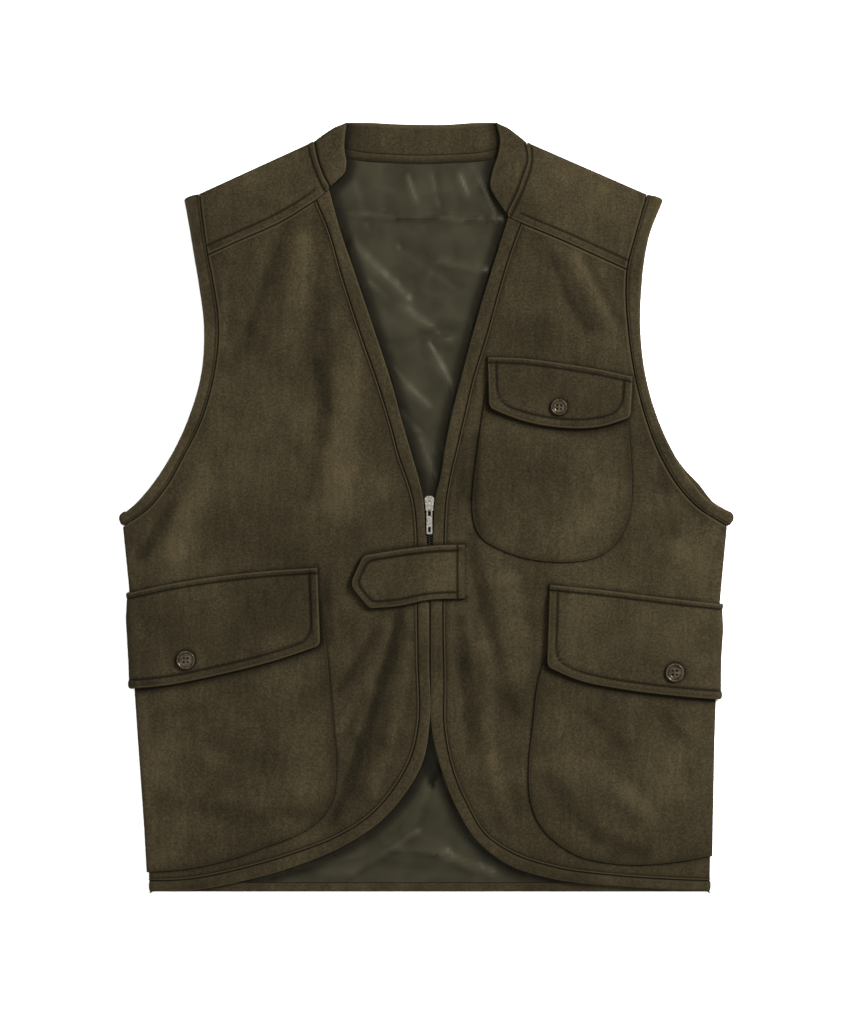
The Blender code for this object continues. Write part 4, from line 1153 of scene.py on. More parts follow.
def make_front(side):
    """A front panel, from its band to the side seam, the armhole and the yoke."""
    foot = plan_line(FRONT_EDGE[side], 0, ZIP_FOOT_ROW)
    inner = plan_line(FRONT_EDGE[side], ZIP_FOOT_ROW, -1)
    arm = plan_line(ARMHOLE[side], 0, YOKE_ROW)
    outer = np.vstack((up_side(side, foot[0, 1], SIDE_EDGES[-1].y), arm))
    top = plan_line(YOKE_SEAM[side])
    band_edge = np.vstack((foot, inner[1:]))
    plan = patch((foot, top, outer, inner), STEP, ("edge",) * 4)
    centre = middle_of(plan)
    seams = (stitched(band_edge, FRONT_SEWN, centre, 1, 1), *FRONT_BOXES[side])
    cloth = Cloth(front_place, constant(-WALL), constant(0.0), seams, (band_edge, arm, top))
    # Painted shadow beside the tab, the pockets and the flaps
    laid = [(tab_edges()[-1], TAB_CAST), (hip_pocket_edges(side)[-1], POCKET_CAST),
            *flap_casts(flap_edges(HIP_FLAP[side], side))]
    if side == "left":
        laid += [(chest_pocket_edges()[-1], POCKET_CAST), *flap_casts(flap_edges(CHEST_FLAP))]
    cloth.make("front_" + side, plan, SUEDE, "suede", shade_beside(*laid))
    for tack in FRONT_TACKS[side]:
        cloth.sew(np.array(((tack.x1, tack.y1), (tack.x2, tack.y2))), TACK_PITCH)


def collar_front(side):
    """The front part of the collar, from the neck down."""
    return Line(COLLAR_RIGHT[::-1] if side == "right" else COLLAR_LEFT)


# How far the collar's seam runs on below its last point, in steps, and how far short of it the yoke's stops
YOKE_SEAM_PAST = 0.9
SEAM_CROSSING = 4


def make_yoke(side):
    """A front yoke, from its seam to the shoulder, the armhole and the collar."""
    seam = plan_line(YOKE_SEAM[side])
    neck_end = np.array(FRONT_EDGE[side][-1][2:])
    foot = np.vstack((seam, neck_end)) + (0, YOKE_SEAM_GAP)
    foot = resample(foot, np.linspace(0, 1, SIDE_POINTS))
    tip = shoulder_tip(side)
    neck = np.array(NECK_POINT[side])
    arm = plan_line(ARMHOLE[side], YOKE_ROW, -1)
    collar = collar_front(side).every(LINE_STEP)[::-1, :2]
    outer = np.vstack((foot[:1], arm[1:], tip))
    inner = np.vstack((foot[-1:], collar[1:], neck))
    top = np.linspace(tip, neck, EDGE_POINTS)
    plan = patch((foot, top, outer, inner), STEP, ("sewn", "turned", "edge", "sewn"))
    centre = middle_of(plan)
    lower = collar[0] + (collar[0] - collar[1]) * YOKE_SEAM_PAST
    beside = np.vstack((lower, collar))
    beside_sewn = COLLAR_SEWN[side]
    seams = (stitched(foot, YOKE_SEWN, centre, 1, beside_sewn.inset + SEAM_CROSSING),
             stitched(beside, beside_sewn, centre, 0, 2))
    cloth = Cloth(front_place, constant(-WALL), constant(0.0), seams, (foot, arm, collar))
    cloth.make("yoke_" + side, plan, SUEDE, "suede")


# Bands: cross sections as shares of the way across and of the thickness, from the seam over the top to the
# free edge and back underneath
PUFFED = ((0, 0), (-0.01, 0.3), (0.0, 0.62), (0.1, 0.9), (0.3, 1.02), (0.5, 1.0), (0.7, 1.0), (0.88, 0.88),
          (0.98, 0.66), (1.0, 0.42), (0.96, 0.16), (0.86, 0.03), (0.5, 0.0), (0.32, 0.0), (0.24, 0.0),
          (0.14, 0.0))
SEWN_IN = ((0, 0), (-0.01, 0.3), (0.01, 0.72), (0.08, 0.98), (0.17, 0.8), (0.27, 1.0), (0.5, 1.04),
           (0.78, 0.98), (0.96, 0.72), (1.0, 0.42), (0.96, 0.16), (0.86, 0.03), (0.5, 0.0), (0.32, 0.0),
           (0.24, 0.0), (0.14, 0.0))
RESTING = ((0, 0.1), (0, 0.55), (0, 0.9), (0.12, 1.0), (0.3, 1.0), (0.5, 1.0), (0.7, 1.0), (0.88, 1.0),
           (0.97, 0.8), (1.0, 0.5), (0.96, 0.2), (0.86, 0.07), (0.5, 0.06), (0.32, 0.06), (0.24, 0.06),
           (0.14, 0.06))
INSIDE_NECK = (*RESTING[:-3], (0.25, 0.05), (0.225, 0.3), (0.2, 0.05))
FOLD_TURNS = np.radians(np.linspace(0, 180, 13)[1:-1])


def profile(rows):
    """A cross section's points with one more between each two."""
    rows = np.array(rows, dtype=float)
    between = (rows + np.roll(rows, -1, axis=0)) / 2
    return np.stack((rows, between), axis=1).reshape(-1, 2)


PUFFED = profile(PUFFED)
SEWN_IN = profile(SEWN_IN)
RESTING = profile(RESTING)
INSIDE_NECK = profile(INSIDE_NECK)
ARM_GROOVE = 8
NECK_GROOVE = 28


def section_plan(section, ring):
    """Plan points of a cross section, a gap in from where it is sewn on."""
    seam = np.array(section[:2]) + across(section) * GAP
    edge = np.array(section[2:])
    return seam + (edge - seam) * ring[:, :1]


def placed_ring(section, place, base, ring):
    return place(section_plan(section, ring), base + BAND * ring[:, 1])


def level_ring(section, base, ring, way=1):
    plan = section_plan(section, ring)
    return np.column_stack((plan, base(plan) + way * BAND * ring[:, 1]))


TUCK_FROM = 0.6


def folded_rings(section, outwards, upper, downwards=True, bulge=0.0, tuck=0.0):
    """Rings of a band where it turns over from the front to the back, or from the back to the front."""
    rings = []
    for turn in FOLD_TURNS if downwards else FOLD_TURNS[::-1]:
        under = (1 - math.cos(turn)) / 2
        blend = upper * (1 - under) + RESTING * under
        share = np.clip(blend[:, 0], 0, 1)
        reach = FOLD_RADIUS + BAND * blend[:, 1]
        drawn_in = 1 - tuck * smooth((share - TUCK_FROM) / (1 - TUCK_FROM))
        swell = (reach + 4 * bulge * share * (1 - share)) * drawn_in
        plan = section_plan(section, blend) + outwards * (swell * math.sin(turn))[:, None]
        rings.append(np.column_stack((plan, FOLD_CENTRE + reach * math.cos(turn))))
    return rings


# Where a band has painted shade and where rubbed wear and painted highlight, as shares of the way across from
# its seam, and how dark the painted shade in a groove is
SEAM_DARK = 0.8
SEAM_DARK_WIDTH = 0.07
EDGE_WEAR_AND_HIGHLIGHT = 0.9
EDGE_WEAR_AND_HIGHLIGHT_AT = 0.97
RIDGE_WEAR_AND_HIGHLIGHT = 0.4
RIDGE_WEAR_AND_HIGHLIGHT_AT = 0.12
WEAR_AND_HIGHLIGHT_SPREAD = 0.06
GROOVE_DARK = (0.3, 0.75, 0.3)
SEAM_PAINTED_SHADE = -0.3
SEAM_PAINTED_SHADE_WIDTH = 0.2


def make_band(node, rings, closed, grooves=(), shade=None):
    """A strip of cloth swept through its rings of points, with painted shade in its seam and its grooves."""
    size = len(rings[0])
    count = len(rings)
    points = np.vstack(rings)
    faces = ring_faces(count, size, closed).tolist()
    if not closed:
        faces.append(list(range(size - 1, -1, -1)))
        faces.append([(count - 1) * size + index for index in range(size)])
    share = PUFFED[:, 0]
    # Painted shade along the seam
    dark = np.tile(SEAM_DARK * bell(share, SEAM_DARK_WIDTH), (count, 1))
    # Rubbed wear and painted highlight on the free edge and on the ridge by the seam
    worn = np.tile(EDGE_WEAR_AND_HIGHLIGHT * bell(share - EDGE_WEAR_AND_HIGHLIGHT_AT, WEAR_AND_HIGHLIGHT_SPREAD)
                   + RIDGE_WEAR_AND_HIGHLIGHT * bell(share - RIDGE_WEAR_AND_HIGHLIGHT_AT, WEAR_AND_HIGHLIGHT_SPREAD), (count, 1))
    # Painted shade in the grooves
    for index in grooves:
        dark[:, index - 1:index + 2] = np.maximum(dark[:, index - 1:index + 2], GROOVE_DARK)
    dark = dark.ravel()
    if shade is not None:
        dark = np.maximum(dark, shade(points))
    # Broad painted shade by the seam
    nap = SEAM_PAINTED_SHADE * np.tile(bell(share, SEAM_PAINTED_SHADE_WIDTH), count)
    made = add_mesh(node + "_cloth", points, faces, SUEDE, "suede", dark=dark, worn=worn.ravel(), nap=nap)
    fix_normals(made)
    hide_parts(node)
    rings = np.array(rings)


def make_front_band(side):
    rows = Line(FRONT_EDGE[side]).every(BAND_STEP)
    rings = [placed_ring(row, front_place, -WALL, PUFFED) for row in rows]
    # Painted shadow beside the tab
    make_band("front_band_" + side, rings, False,
              shade=shade_beside((tab_edges()[-1], TAB_ON_BAND_CAST)))


def back_armhole(side):
    line = Line(ARMHOLE[side])
    rows = line.every(BAND_STEP)
    where = np.interp(np.linspace(0, line.knots[-1], len(rows)), line.knots, np.arange(len(line.knots)))
    push = BACK_SHOW[side] * bell(where - BACK_SHOW_ROW, BACK_SHOW_SPREAD)
    for row, reach in zip(rows, push):
        row[2:] += across(row) * reach
    return rows


def nearest_of(plan, ends):
    """Distance from each plan point to the nearer of two."""
    return np.minimum(*(np.linalg.norm(plan - end, axis=1) for end in ends))


UNDERARM_BULGE = 3.0
SHOULDER_BULGE = 0.8


def make_armhole_band(side):
    front = Line(ARMHOLE[side]).every(BAND_STEP)
    ends = front[[0, -1], :2]

    def base(plan):
        return FRONT_FLOOR + rise(plan) * smooth((nearest_of(plan, ends) - FOLD_EASE) / FADE)

    inside = np.array((0.0, front[len(front) // 2][1]))
    rings = [level_ring(row, base, SEWN_IN) for row in front]
    rings += folded_rings(front[-1], outward(front[-1], inside), SEWN_IN, bulge=SHOULDER_BULGE)
    rings += [level_ring(row, constant(BAND), RESTING, way=-1) for row in back_armhole(side)[::-1]]
    rings += folded_rings(front[0], outward(front[0], inside), SEWN_IN, False, UNDERARM_BULGE)
    make_band("armhole_band_" + side, rings, True, (ARM_GROOVE,))


COLLAR_CORNER = {"right": 3.0, "left": 6.0}
FOLD_SHADE = 0.85
FOLD_SHADE_REACH = 8.0
COLLAR_TUCK = 0.9


def round_free_end(rows, radius):
    """Draws the free edge in where a band ends, so that its corner is round."""
    run = lengths(rows[:, 2:])
    left = run[-1] - run
    short = radius * (1 - np.sqrt(1 - np.clip(1 - left / radius, 0, 1) ** 2))
    for row, reach in zip(rows, short):
        row[2:] -= across(row) * reach
    return rows


def make_collar():
    inside = np.array((0.0, 300.0))
    rings = []
    for side in SIDES:
        front = round_free_end(collar_front(side).every(COLLAR_STEP), COLLAR_CORNER[side])
        ends = front[0].reshape(2, 2)

        def base(plan, ends=ends):
            return FRONT_FLOOR + LOFT * smooth((nearest_of(plan, ends) - GAP) / FADE)

        laid = [level_ring(row, base, PUFFED) for row in front]
        turned = folded_rings(front[0], outward(front[0], inside), PUFFED, side == "right", tuck=COLLAR_TUCK)
        if side == "right":
            rings += laid[::-1] + turned
            rings += [level_ring(row, constant(BAND), INSIDE_NECK, way=-1)
                      for row in Line(COLLAR_BACK).every(BAND_STEP)]
        else:
            rings += turned + laid

    # Painted shade on the collar's low parts by the fronts' free edges
    def under_the_front(points):
        low = points[:, 2] < FOLD_CENTRE
        near = np.minimum(*(distance_to(points[:, :2], FREE_EDGE[side]) for side in SIDES))
        return low * FOLD_SHADE * bell(near, FOLD_SHADE_REACH)

    make_band("collar", rings, False, (NECK_GROOVE,),
              under_the_front)


def make_back():
    edges = {}
    for side in SIDES:
        arm = back_armhole(side)[:, :2]
        edges[side] = np.vstack((up_side(side, BACK_HEM_Y, SIDE_EDGES[-1].y), arm, shoulder_tip(side)))
    neck = Line(COLLAR_BACK).every(NECK_STEP)[:, :2]
    right = np.linspace(shoulder_tip("right"), NECK_POINT["right"], SHORT_POINTS)
    left = np.linspace(NECK_POINT["left"], shoulder_tip("left"), SHORT_POINTS)
    top = np.vstack((right, neck, left))
    foot = np.linspace(*((side_x(side, BACK_HEM_Y), BACK_HEM_Y) for side in SIDES), EDGE_POINTS)
    cloth = Cloth(back_place, constant(-WALL), constant(0.0))
    plan = patch((foot, top, edges["right"], edges["left"]), BACK_STEP,
                 ("plain", "turned", "turned", "turned"))
    cloth.make("back_panel", plan, SUEDE, "suede")


SHADE_DEPTH = 0.9
SHADE_REACH = 9.5
NARROW = 17.0
# The deep shade below the zip, which ends in a point
WEDGE_X = 5.0
WEDGE_FOOT = -262.0
WEDGE_SPREAD = 0.45
WEDGE_HALF = 12.0
WEDGE_SOFT = 3.0


def under_the_edges(points):
    """How deep in shade the lining lies by the bands and the collar, most where the fronts nearly meet."""
    right, left = (distance_to(points, FREE_EDGE[side]) for side in SIDES)
    beside = SHADE_DEPTH * np.exp(-(np.minimum(right, left) / SHADE_REACH) ** 4)
    narrow = np.exp(-((right + left) / NARROW) ** 4)
    half = np.clip((points[:, 1] - WEDGE_FOOT) * WEDGE_SPREAD, 0, WEDGE_HALF) * (points[:, 1] < 0)
    wedge = smooth((half - abs(points[:, 0] - WEDGE_X)) / WEDGE_SOFT + 0.5) * (half > 0)
    return np.maximum.reduce((beside, narrow, wedge))


LINING_SIDE_TOP = -40.0
LINING_ARM_ROWS = slice(6, -8)
LINING_NECK_ROWS = slice(8, -8)


def make_lining():
    """The back lining, a little inside the back panel's edges."""
    foot_y = BACK_HEM_Y + GAP
    edges = {}
    for side in SIDES:
        inwards = 1 if side == "right" else -1
        seam = up_side(side, foot_y, LINING_SIDE_TOP) + (inwards * LINING_INSET, 0)
        rows = back_armhole(side)[LINING_ARM_ROWS]
        arm = np.array([row[:2] - across(row) * LINING_INSET for row in rows])
        edges[side] = np.vstack((seam, arm))
    neck = Line(COLLAR_BACK).every(NECK_STEP)[LINING_NECK_ROWS, :2]
    top = np.vstack((edges["right"][-1:], neck, edges["left"][-1:]))
    foot = np.array(((edges["right"][0][0], foot_y), (edges["left"][0][0], foot_y)))
    plan = patch((foot, top, edges["right"], edges["left"]), LINING_STEP, ("plain",) * 4)
    cloth = Cloth(lining_place, constant(LINING_TOP - LINING_WALL), constant(LINING_TOP))
    cloth.make("back_lining", plan, SATIN, "lining", under_the_edges)


HEM_LAP = 0.45


def make_back_hem_band():
    start = side_x("right", BACK_HEM_Y)
    width = side_x("left", BACK_HEM_Y) - start
    shares = lines_between(width, BAND_STEP, "turned", "turned")
    rings = []
    for x in start + width * shares:
        section = Section(x, BACK_HEM_Y + HEM_LAP, x, BACK_HEM_EDGE_Y)
        rings.append(placed_ring(section, back_place, -BAND, RESTING))
    make_band("back_hem_band", rings, False)


PUFF_REACH = 24.0
POCKET_CORNER = 14.0


def make_pocket(node, edges, kinds, flap):
    """Patch pocket: flat along its sewn edge, and a little off the panel inside it."""
    foot, outer, inner, edge = edges
    top = np.linspace(outer[-1], inner[-1], EDGE_POINTS)
    outline = np.vstack((foot, inner, top[::-1], outer[::-1]))

    def puff(points):
        return POCKET_PUFF * (1 - bell(distance_to(points, outline), PUFF_REACH))

    plan = patch((foot, top, outer, inner), STEP, kinds)
    seams = (stitched(edge, POCKET_SEWN, middle_of(plan), 2, 2),)
    cloth = Cloth(front_place, lambda p: CLEAR + puff(p), lambda p: CLEAR + POCKET_WALL + puff(p), seams,
                  (edge,), wear_and_highlight_gain=0.3)
    # Painted shadow beside the flap's free edge
    cloth.make(node, plan, SUEDE, "suede", shade_beside((flap[-1], FLAP_ON_POCKET_CAST)))


def hip_pocket_edges(side):
    """Foot, outer edge, inner edge and sewn edge."""
    shape = HIP_POCKET[side]
    foot = plan_line(shape["foot"])
    foot[0, 0] = side_x(side, foot[0, 1])
    inner = plan_line(shape["inner"])
    foot, inner = round_corner(foot, inner, POCKET_CORNER)
    outer = up_side(side, foot[0, 1], shape["side_top"])
    return foot, outer, inner, np.vstack((foot[2:], inner[1:]))


def chest_pocket_edges():
    """Foot, outer edge, inner edge and sewn edge."""
    foot = plan_line(CHEST_POCKET["foot"])
    outer = plan_line(CHEST_POCKET["outer"])
    inner = plan_line(CHEST_POCKET["inner"])
    foot, inner = round_corner(foot, inner, POCKET_CORNER)
    outer, foot = round_corner(outer[::-1], foot, POCKET_CORNER)
    return foot, outer[::-1], inner, np.vstack((outer, foot[1:], inner[1:]))


BUTTON_SHADE = 0.95
BUTTON_SHADE_REACH = 1.8
FLAP_CORNER = 5.5
# Bar tacks by an upper corner of a flap or the tab: how far in, and where they start and end
TACK_IN = 0.6
TACK_TOP = 0.8
TACK_FOOT = 5.2


def flap_down(points, top, foot):
    """How far down a flap each point lies, from 0 at its top to 1 at its foot."""
    heights = []
    for line in (top, foot):
        order = np.argsort(line[:, 0])
        heights.append(np.interp(points[:, 0], line[order, 0], line[order, 1]))
    return np.clip((heights[0] - points[:, 1]) / (heights[0] - heights[1]), 0, 1)


def flap_edges(shape, side=None):
    """Foot, top, outer edge, inner edge and free edge."""
    top = plan_line(shape["top"])
    foot = plan_line(shape["foot"])
    outer = np.linspace(foot[0], top[0], END_POINTS)
    if side:
        outer[:, 0] = side_x(side, outer[:, 1])
        for line in (top, foot):
            line[:, 0] += (side_x(side, line[0, 1]) - line[0, 0]) * np.linspace(1, 0, len(line))
    inner = np.linspace(foot[-1], top[-1], END_POINTS)
    foot, inner = round_corner(foot, inner, FLAP_CORNER)
    free = np.vstack((foot, inner[1:]))
    if not side:
        outer, foot = round_corner(outer[::-1], foot, FLAP_CORNER)
        outer = outer[::-1]
        free = np.vstack((outer[::-1], foot[1:], inner[1:]))
    return foot, top, outer, inner, free


def make_flap(node, shape, button, side=None):
    foot, top, outer, inner, free = flap_edges(shape, side)
    square_foot = plan_line(shape["foot"])
    lows = [row.down for row in FLAP_ROWS]
    offs = [row.off for row in FLAP_ROWS]

    def low(points):
        return np.interp(flap_down(points, top, square_foot), lows, offs)

    def high(points):
        return low(points) + FLAP_WALL

    plan = patch((foot, top, outer, inner), STEP, ("sewn", "sewn", "turned" if side else "sewn", "sewn"))
    centre = middle_of(plan)
    end = FLAP_TOP_SEWN.inset
    seams = (stitched(top, FLAP_TOP_SEWN, centre, 1, 1),
             stitched(free, FLAP_SEWN, centre, 2 if side else end, end))
    cloth = Cloth(front_place, low, high, seams, (top, free))
    start, stop = box_of(button)
    middle = (start[:2] + stop[:2]) / 2
    radius = (stop[0] - start[0]) / 2

    # Painted shadow round the button, full under it
    def round_the_button(points):
        beyond = np.linalg.norm(points - middle, axis=1) - radius
        return BUTTON_SHADE * bell(np.maximum(beyond, 0), BUTTON_SHADE_REACH)

    cloth.make(node, plan, SUEDE, "suede", round_the_button)
    x, y = top[-1]
    x += np.sign(centre[0] - x) * (FLAP_SEWN.inset - TACK_IN)
    cloth.sew(np.array(((x, y - TACK_TOP), (x, y - TACK_FOOT))), TACK_PITCH)


TAB_FINER = 0.8
TAB_EASE = 1.0
TAB_TIP_EASE = 1.6
TAB_FOOT_CORNER = 3.5
TAB_TOP_CORNER = 5.0


def tab_edges():
    """Foot, top, pointed end, square end and free edge."""
    top = plan_line(TAB_TOP)
    foot = plan_line(TAB_FOOT)
    tip = np.array(TAB_TIP)
    pointed = np.vstack((np.linspace(foot[0], tip, TIP_POINTS), np.linspace(tip, top[0], TIP_POINTS)[1:]))
    foot, pointed = round_corner(foot[::-1], eased(pointed, TAB_TIP_EASE), TAB_FOOT_CORNER)
    pointed, top = round_corner(pointed, top, TAB_TOP_CORNER)
    foot = foot[::-1]
    square = np.linspace(foot[-1], top[-1], SHORT_POINTS)
    return foot, top, pointed, square, np.vstack((top[::-1], pointed[::-1][1:], foot[1:]))


def make_tab():
    foot, top, pointed, square, edge = tab_edges()
    lift_x = ZIP_X - TAB_LIFT_START

    def low(points):
        reach = np.clip((lift_x - points[:, 0]) / (lift_x - TAB_TIP.x), 0, 1)
        return CLEAR + TAB_LIFT * reach ** TAB_LIFT_POWER

    def high(points):
        return low(points) + TAB_WALL

    plan = patch((foot, top, pointed, square), STEP * TAB_FINER, ("sewn",) * 4)
    centre = middle_of(plan)
    end = TAB_END_SEWN.inset
    seams = (stitched(edge, TAB_SEWN, centre, end, end, TAB_EASE),
             stitched(square, TAB_END_SEWN, centre, 1, 1),
             stitched(square, TAB_EDGE_SEWN, centre, 1, 1))
    cloth = Cloth(tab_place, low, high, seams, (edge, square))
    cloth.make("front_tab", plan, SUEDE, "suede")
    x, y = square[-1] - (end, TACK_IN)
    cloth.sew(np.array(((x, y), (x, y - TACK_FOOT))), TACK_PITCH)


# The closed zip: two woven tapes that meet under a chain of teeth
TAPE_WALL = 0.7
TAPE_MIDDLE = 0.5
TOOTH_PITCH = 2.3
TOOTH_LENGTH = 1.5
TOOTH_REACH = 2.6
TOOTH_OVER = 0.7
TOOTH_HEIGHT = 1.9
TOOTH_SUNK = 0.2
TOOTH_CORNER = 0.3
TAPE_CORNER = 0.15


def box_points(x1, x2, y1, y2, low, high, corner=0.0):
    """Eight points of a block whose top is drawn in by its rounded corners."""
    return [(x1, y1, low), (x2, y1, low), (x2, y2, low), (x1, y2, low),
            (x1 + corner, y1 + corner, high), (x2 - corner, y1 + corner, high),
            (x2 - corner, y2 - corner, high), (x1 + corner, y2 - corner, high)]


BLOCK_FACES = ((3, 2, 1, 0), (4, 5, 6, 7), (0, 1, 5, 4), (1, 2, 6, 5), (2, 3, 7, 6), (3, 0, 4, 7))


def make_blocks(name, blocks, material, slot):
    """Many small blocks as one mesh."""
    points = [point for block in blocks for point in block]
    faces = [tuple(8 * index + k for k in face) for index in range(len(blocks)) for face in BLOCK_FACES]
    return add_mesh(name, points, faces, material, slot)


def make_zip():
    low, high = box_of("zip_tape")
    half = (high[0] - low[0]) / 2
    middle = (high[0] + low[0]) / 2
    base = low[2]
    tapes = [box_points(*sorted((middle + way * TAPE_MIDDLE, middle + way * half)), low[1], high[1], base,
                        base + TAPE_WALL, TAPE_CORNER) for way in (-1, 1)]
    tape = make_blocks("zip_tape_cloth", tapes, TAPE, "zip_tape")
    rows = np.arange(low[1] + TOOTH_PITCH, high[1] - TOOTH_PITCH, TOOTH_PITCH / 2)
    teeth = []
    for index, y in enumerate(rows):
        way = 1 if index % 2 else -1
        ends = sorted((middle - way * TOOTH_OVER, middle + way * TOOTH_REACH))
        teeth.append(box_points(*ends, y - TOOTH_LENGTH / 2, y + TOOTH_LENGTH / 2,
                                base + TAPE_WALL - TOOTH_SUNK, base + TOOTH_HEIGHT, TOOTH_CORNER))
    chain = make_blocks("zip_teeth", teeth, BLACKENED, "zip_metal")
    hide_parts("zip_tape")


# Buttons: turned outline as shares of the radius and heights over the seat, and the holes through it
BUTTON_TURNED = ((0.0, 1.15), (0.3, 1.15), (0.46, 1.2), (0.54, 1.42), (0.6, 1.72), (0.66, 1.66),
                 (0.74, 1.62), (0.8, 2.0), (0.86, 2.42), (0.92, 2.55), (0.97, 2.35), (1.0, 1.8), (1.0, 1.2),
                 (0.96, 0.6), (0.86, 0.2), (0.6, 0.0), (0.0, 0.0))
BUTTON_SIDES = 48
HOLE_SPREAD = 2.5
HOLE_RADIUS = 0.95
DRILL_HEIGHT = 1.5
DRILL_LENGTH = 6.0
GROOVE_SHADE = 0.85
GROOVE_SHARE = 0.72
GROOVE_WIDTH = 0.07
HOLE_SIDES = 16


def turned(name, centre, outline, sides, material, slot):
    """A piece turned about an upright axis, from its outline's radii and heights, with painted shade in its
    groove.
    """
    turns = 2 * np.pi * np.arange(sides) / sides
    rings = [np.column_stack((centre[0] + r * np.cos(turns), centre[1] + r * np.sin(turns),
                              np.full(sides, centre[2] + z))) for r, z in outline if r > 0]
    points = np.vstack((*rings, (centre[0], centre[1], centre[2] + outline[0][1]),
                        (centre[0], centre[1], centre[2] + outline[-1][1])))
    faces = ring_faces(len(rings), sides).tolist()
    last = (len(rings) - 1) * sides
    for k in range(sides):
        after = (k + 1) % sides
        faces.append((after, k, len(points) - 2))
        faces.append((last + k, last + after, len(points) - 1))
    share = np.linalg.norm(points[:, :2] - centre[:2], axis=1) / max(r for r, _ in outline)
    made = add_mesh(name, points, faces, material, slot,
                    dark=GROOVE_SHADE * bell(share - GROOVE_SHARE, GROOVE_WIDTH))
    fix_normals(made)
    return made


def drill(made, drills):
    """Cuts holes through a piece with the drills, which are then thrown away."""
    cut = made.modifiers.new("holes", "BOOLEAN")
    cut.object = drills
    cut.solver = "EXACT"
    ready = made.evaluated_get(bpy.context.evaluated_depsgraph_get())
    drilled = bpy.data.meshes.new_from_object(ready)
    made.modifiers.clear()
    made.data = drilled
    bpy.data.objects.remove(drills)


def make_button(node):
    low, high = box_of(node)
    centre = np.array(((low[0] + high[0]) / 2, (low[1] + high[1]) / 2, low[2]))
    radius = (high[0] - low[0]) / 2
    outline = [(share * radius, z) for share, z in BUTTON_TURNED]
    made = turned(node + "_turned", centre, outline, BUTTON_SIDES, HORN, "button")
    drills = bpy.data.meshes.new("drills")
    shape = bmesh.new()
    for turn in np.pi / 4 + np.pi / 2 * np.arange(4):
        place = centre + (HOLE_SPREAD * math.cos(turn), HOLE_SPREAD * math.sin(turn), DRILL_HEIGHT)
        bmesh.ops.create_cone(shape, cap_ends=True, segments=HOLE_SIDES, radius1=HOLE_RADIUS * MM,
                              radius2=HOLE_RADIUS * MM, depth=DRILL_LENGTH * MM,
                              matrix=Matrix.Translation((place * MM).tolist()))
    shape.to_mesh(drills)
    shape.free()
    tool = bpy.data.objects.new("drills", drills)
    bpy.context.collection.objects.link(tool)
    drill(made, tool)
    made.data.set_sharp_from_angle(angle=math.radians(45))
    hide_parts(node)


def finish_metal():
    """The zip's slider and pull keep their solids, with softened edges and a plated finish."""
    for node, edge in (("zip_slider", 0.35), ("zip_pull", 0.25)):
        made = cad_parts[node]
        made.data.materials.clear()
        made.data.materials.append(NICKEL)
        bevel = made.modifiers.new("soft_edges", "BEVEL")
        bevel.width = edge * MM
        bevel.segments = 2
        bevel.limit_method = "ANGLE"
        bevel.angle_limit = math.radians(35)


make_back()
make_lining()
make_back_hem_band()
for side in SIDES:
    make_front(side)
    make_yoke(side)
    make_front_band(side)
    make_armhole_band(side)
    make_pocket("hip_pocket_" + side, hip_pocket_edges(side), ("edge", "plain", "turned", "edge"),
                flap_edges(HIP_FLAP[side], side))
    make_flap("hip_flap_" + side, HIP_FLAP[side],
              "button_hip_" + side, side)
make_collar()
make_pocket("chest_pocket", chest_pocket_edges(), ("edge", "plain", "edge", "edge"),
            flap_edges(CHEST_FLAP))
make_flap("chest_flap", CHEST_FLAP, "button_chest")
make_tab()
make_zip()
for node in ("button_chest", "button_hip_right", "button_hip_left"):
    make_button(node)
finish_metal()
starts, ends = (np.vstack(places) for places in zip(*stitch_runs))
stitch_mesh("topstitching", starts, ends, THREAD, "suede")

# The table, the lights and the camera
FLOOR_SIZE = 8.0
CAMERA_LENS = 85.0
SENSOR = 36.0
PHOTO_HEIGHT = 942.0
PHOTO_CENTRE_Y = -5.0
LENS_SETBACK = 0.003
FLOOR_TONE_MM = 400.0


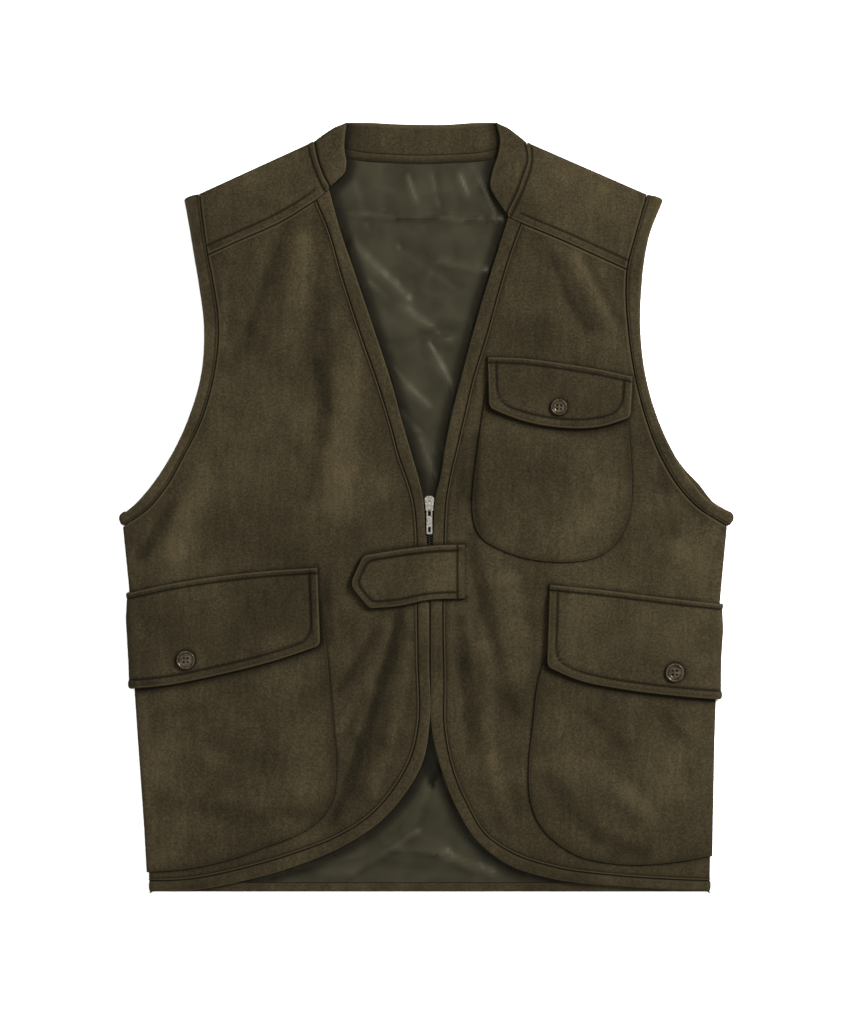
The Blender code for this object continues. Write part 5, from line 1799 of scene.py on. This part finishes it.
def make_floor():
    half = FLOOR_SIZE / 2
    mesh = bpy.data.meshes.new("table_top")
    corners = [(x * half, y * half, 0) for x, y in ((-1, -1), (1, -1), (1, 1), (-1, 1))]
    mesh.from_pydata(corners, [], [(0, 1, 2, 3)])
    made = bpy.data.objects.new("table_top", mesh)
    bpy.context.collection.objects.link(made)
    material, tree, shader, place = new_material("white_laminate")
    tone = noise(tree, place, FLOOR_TONE_MM)
    dress(tree, shader, ramp(tree, tone, ((0.0, "#FAFAFA"), (1.0, "#FDFDFD"))), {"Roughness": 0.8})
    mesh.materials.append(material)


Softbox = namedtuple("Softbox", "name x y z size watts")
SOFTBOXES = (
    Softbox("key_softbox", 1.6, 1.1, 1.6, 0.7, 150.0),
    Softbox("fill_softbox", -1.4, -0.4, 2.1, 2.0, 44.0),
)


def make_lights():
    for box in SOFTBOXES:
        light = bpy.data.lights.new(box.name, "AREA")
        light.size = box.size
        light.energy = box.watts
        made = bpy.data.objects.new(box.name, light)
        made.location = (box.x, box.y, box.z)
        made.rotation_mode = "QUATERNION"
        made.rotation_quaternion = (-Vector(made.location)).to_track_quat("-Z", "Y")
        bpy.context.collection.objects.link(made)
    world = bpy.data.worlds.new("studio_air")
    world.use_nodes = True
    tree = world.node_tree
    air = tree.nodes["Background"]
    toward = add(tree, "ShaderNodeTexCoord").outputs["Generated"]
    height = add(tree, "ShaderNodeSeparateXYZ", links={0: toward}).outputs[2]
    tree.links.new(ramp(tree, height, ((0.0, "#6A6A6A"), (0.9, "#FFFFFF"))), air.inputs["Color"])
    air.inputs["Strength"].default_value = 1.0
    bpy.context.scene.world = world


def make_camera():
    camera = bpy.data.cameras.new("camera")
    camera.lens = CAMERA_LENS
    camera.sensor_width = SENSOR
    distance = PHOTO_HEIGHT * MM / 2 / (SENSOR / 2 / CAMERA_LENS)
    made = bpy.data.objects.new("camera", camera)
    made.location = (0.0, PHOTO_CENTRE_Y * MM, distance + LENS_SETBACK)
    bpy.context.collection.objects.link(made)
    bpy.context.scene.camera = made


make_floor()
make_lights()
make_camera()
bpy.context.scene.view_settings.view_transform = "Standard"
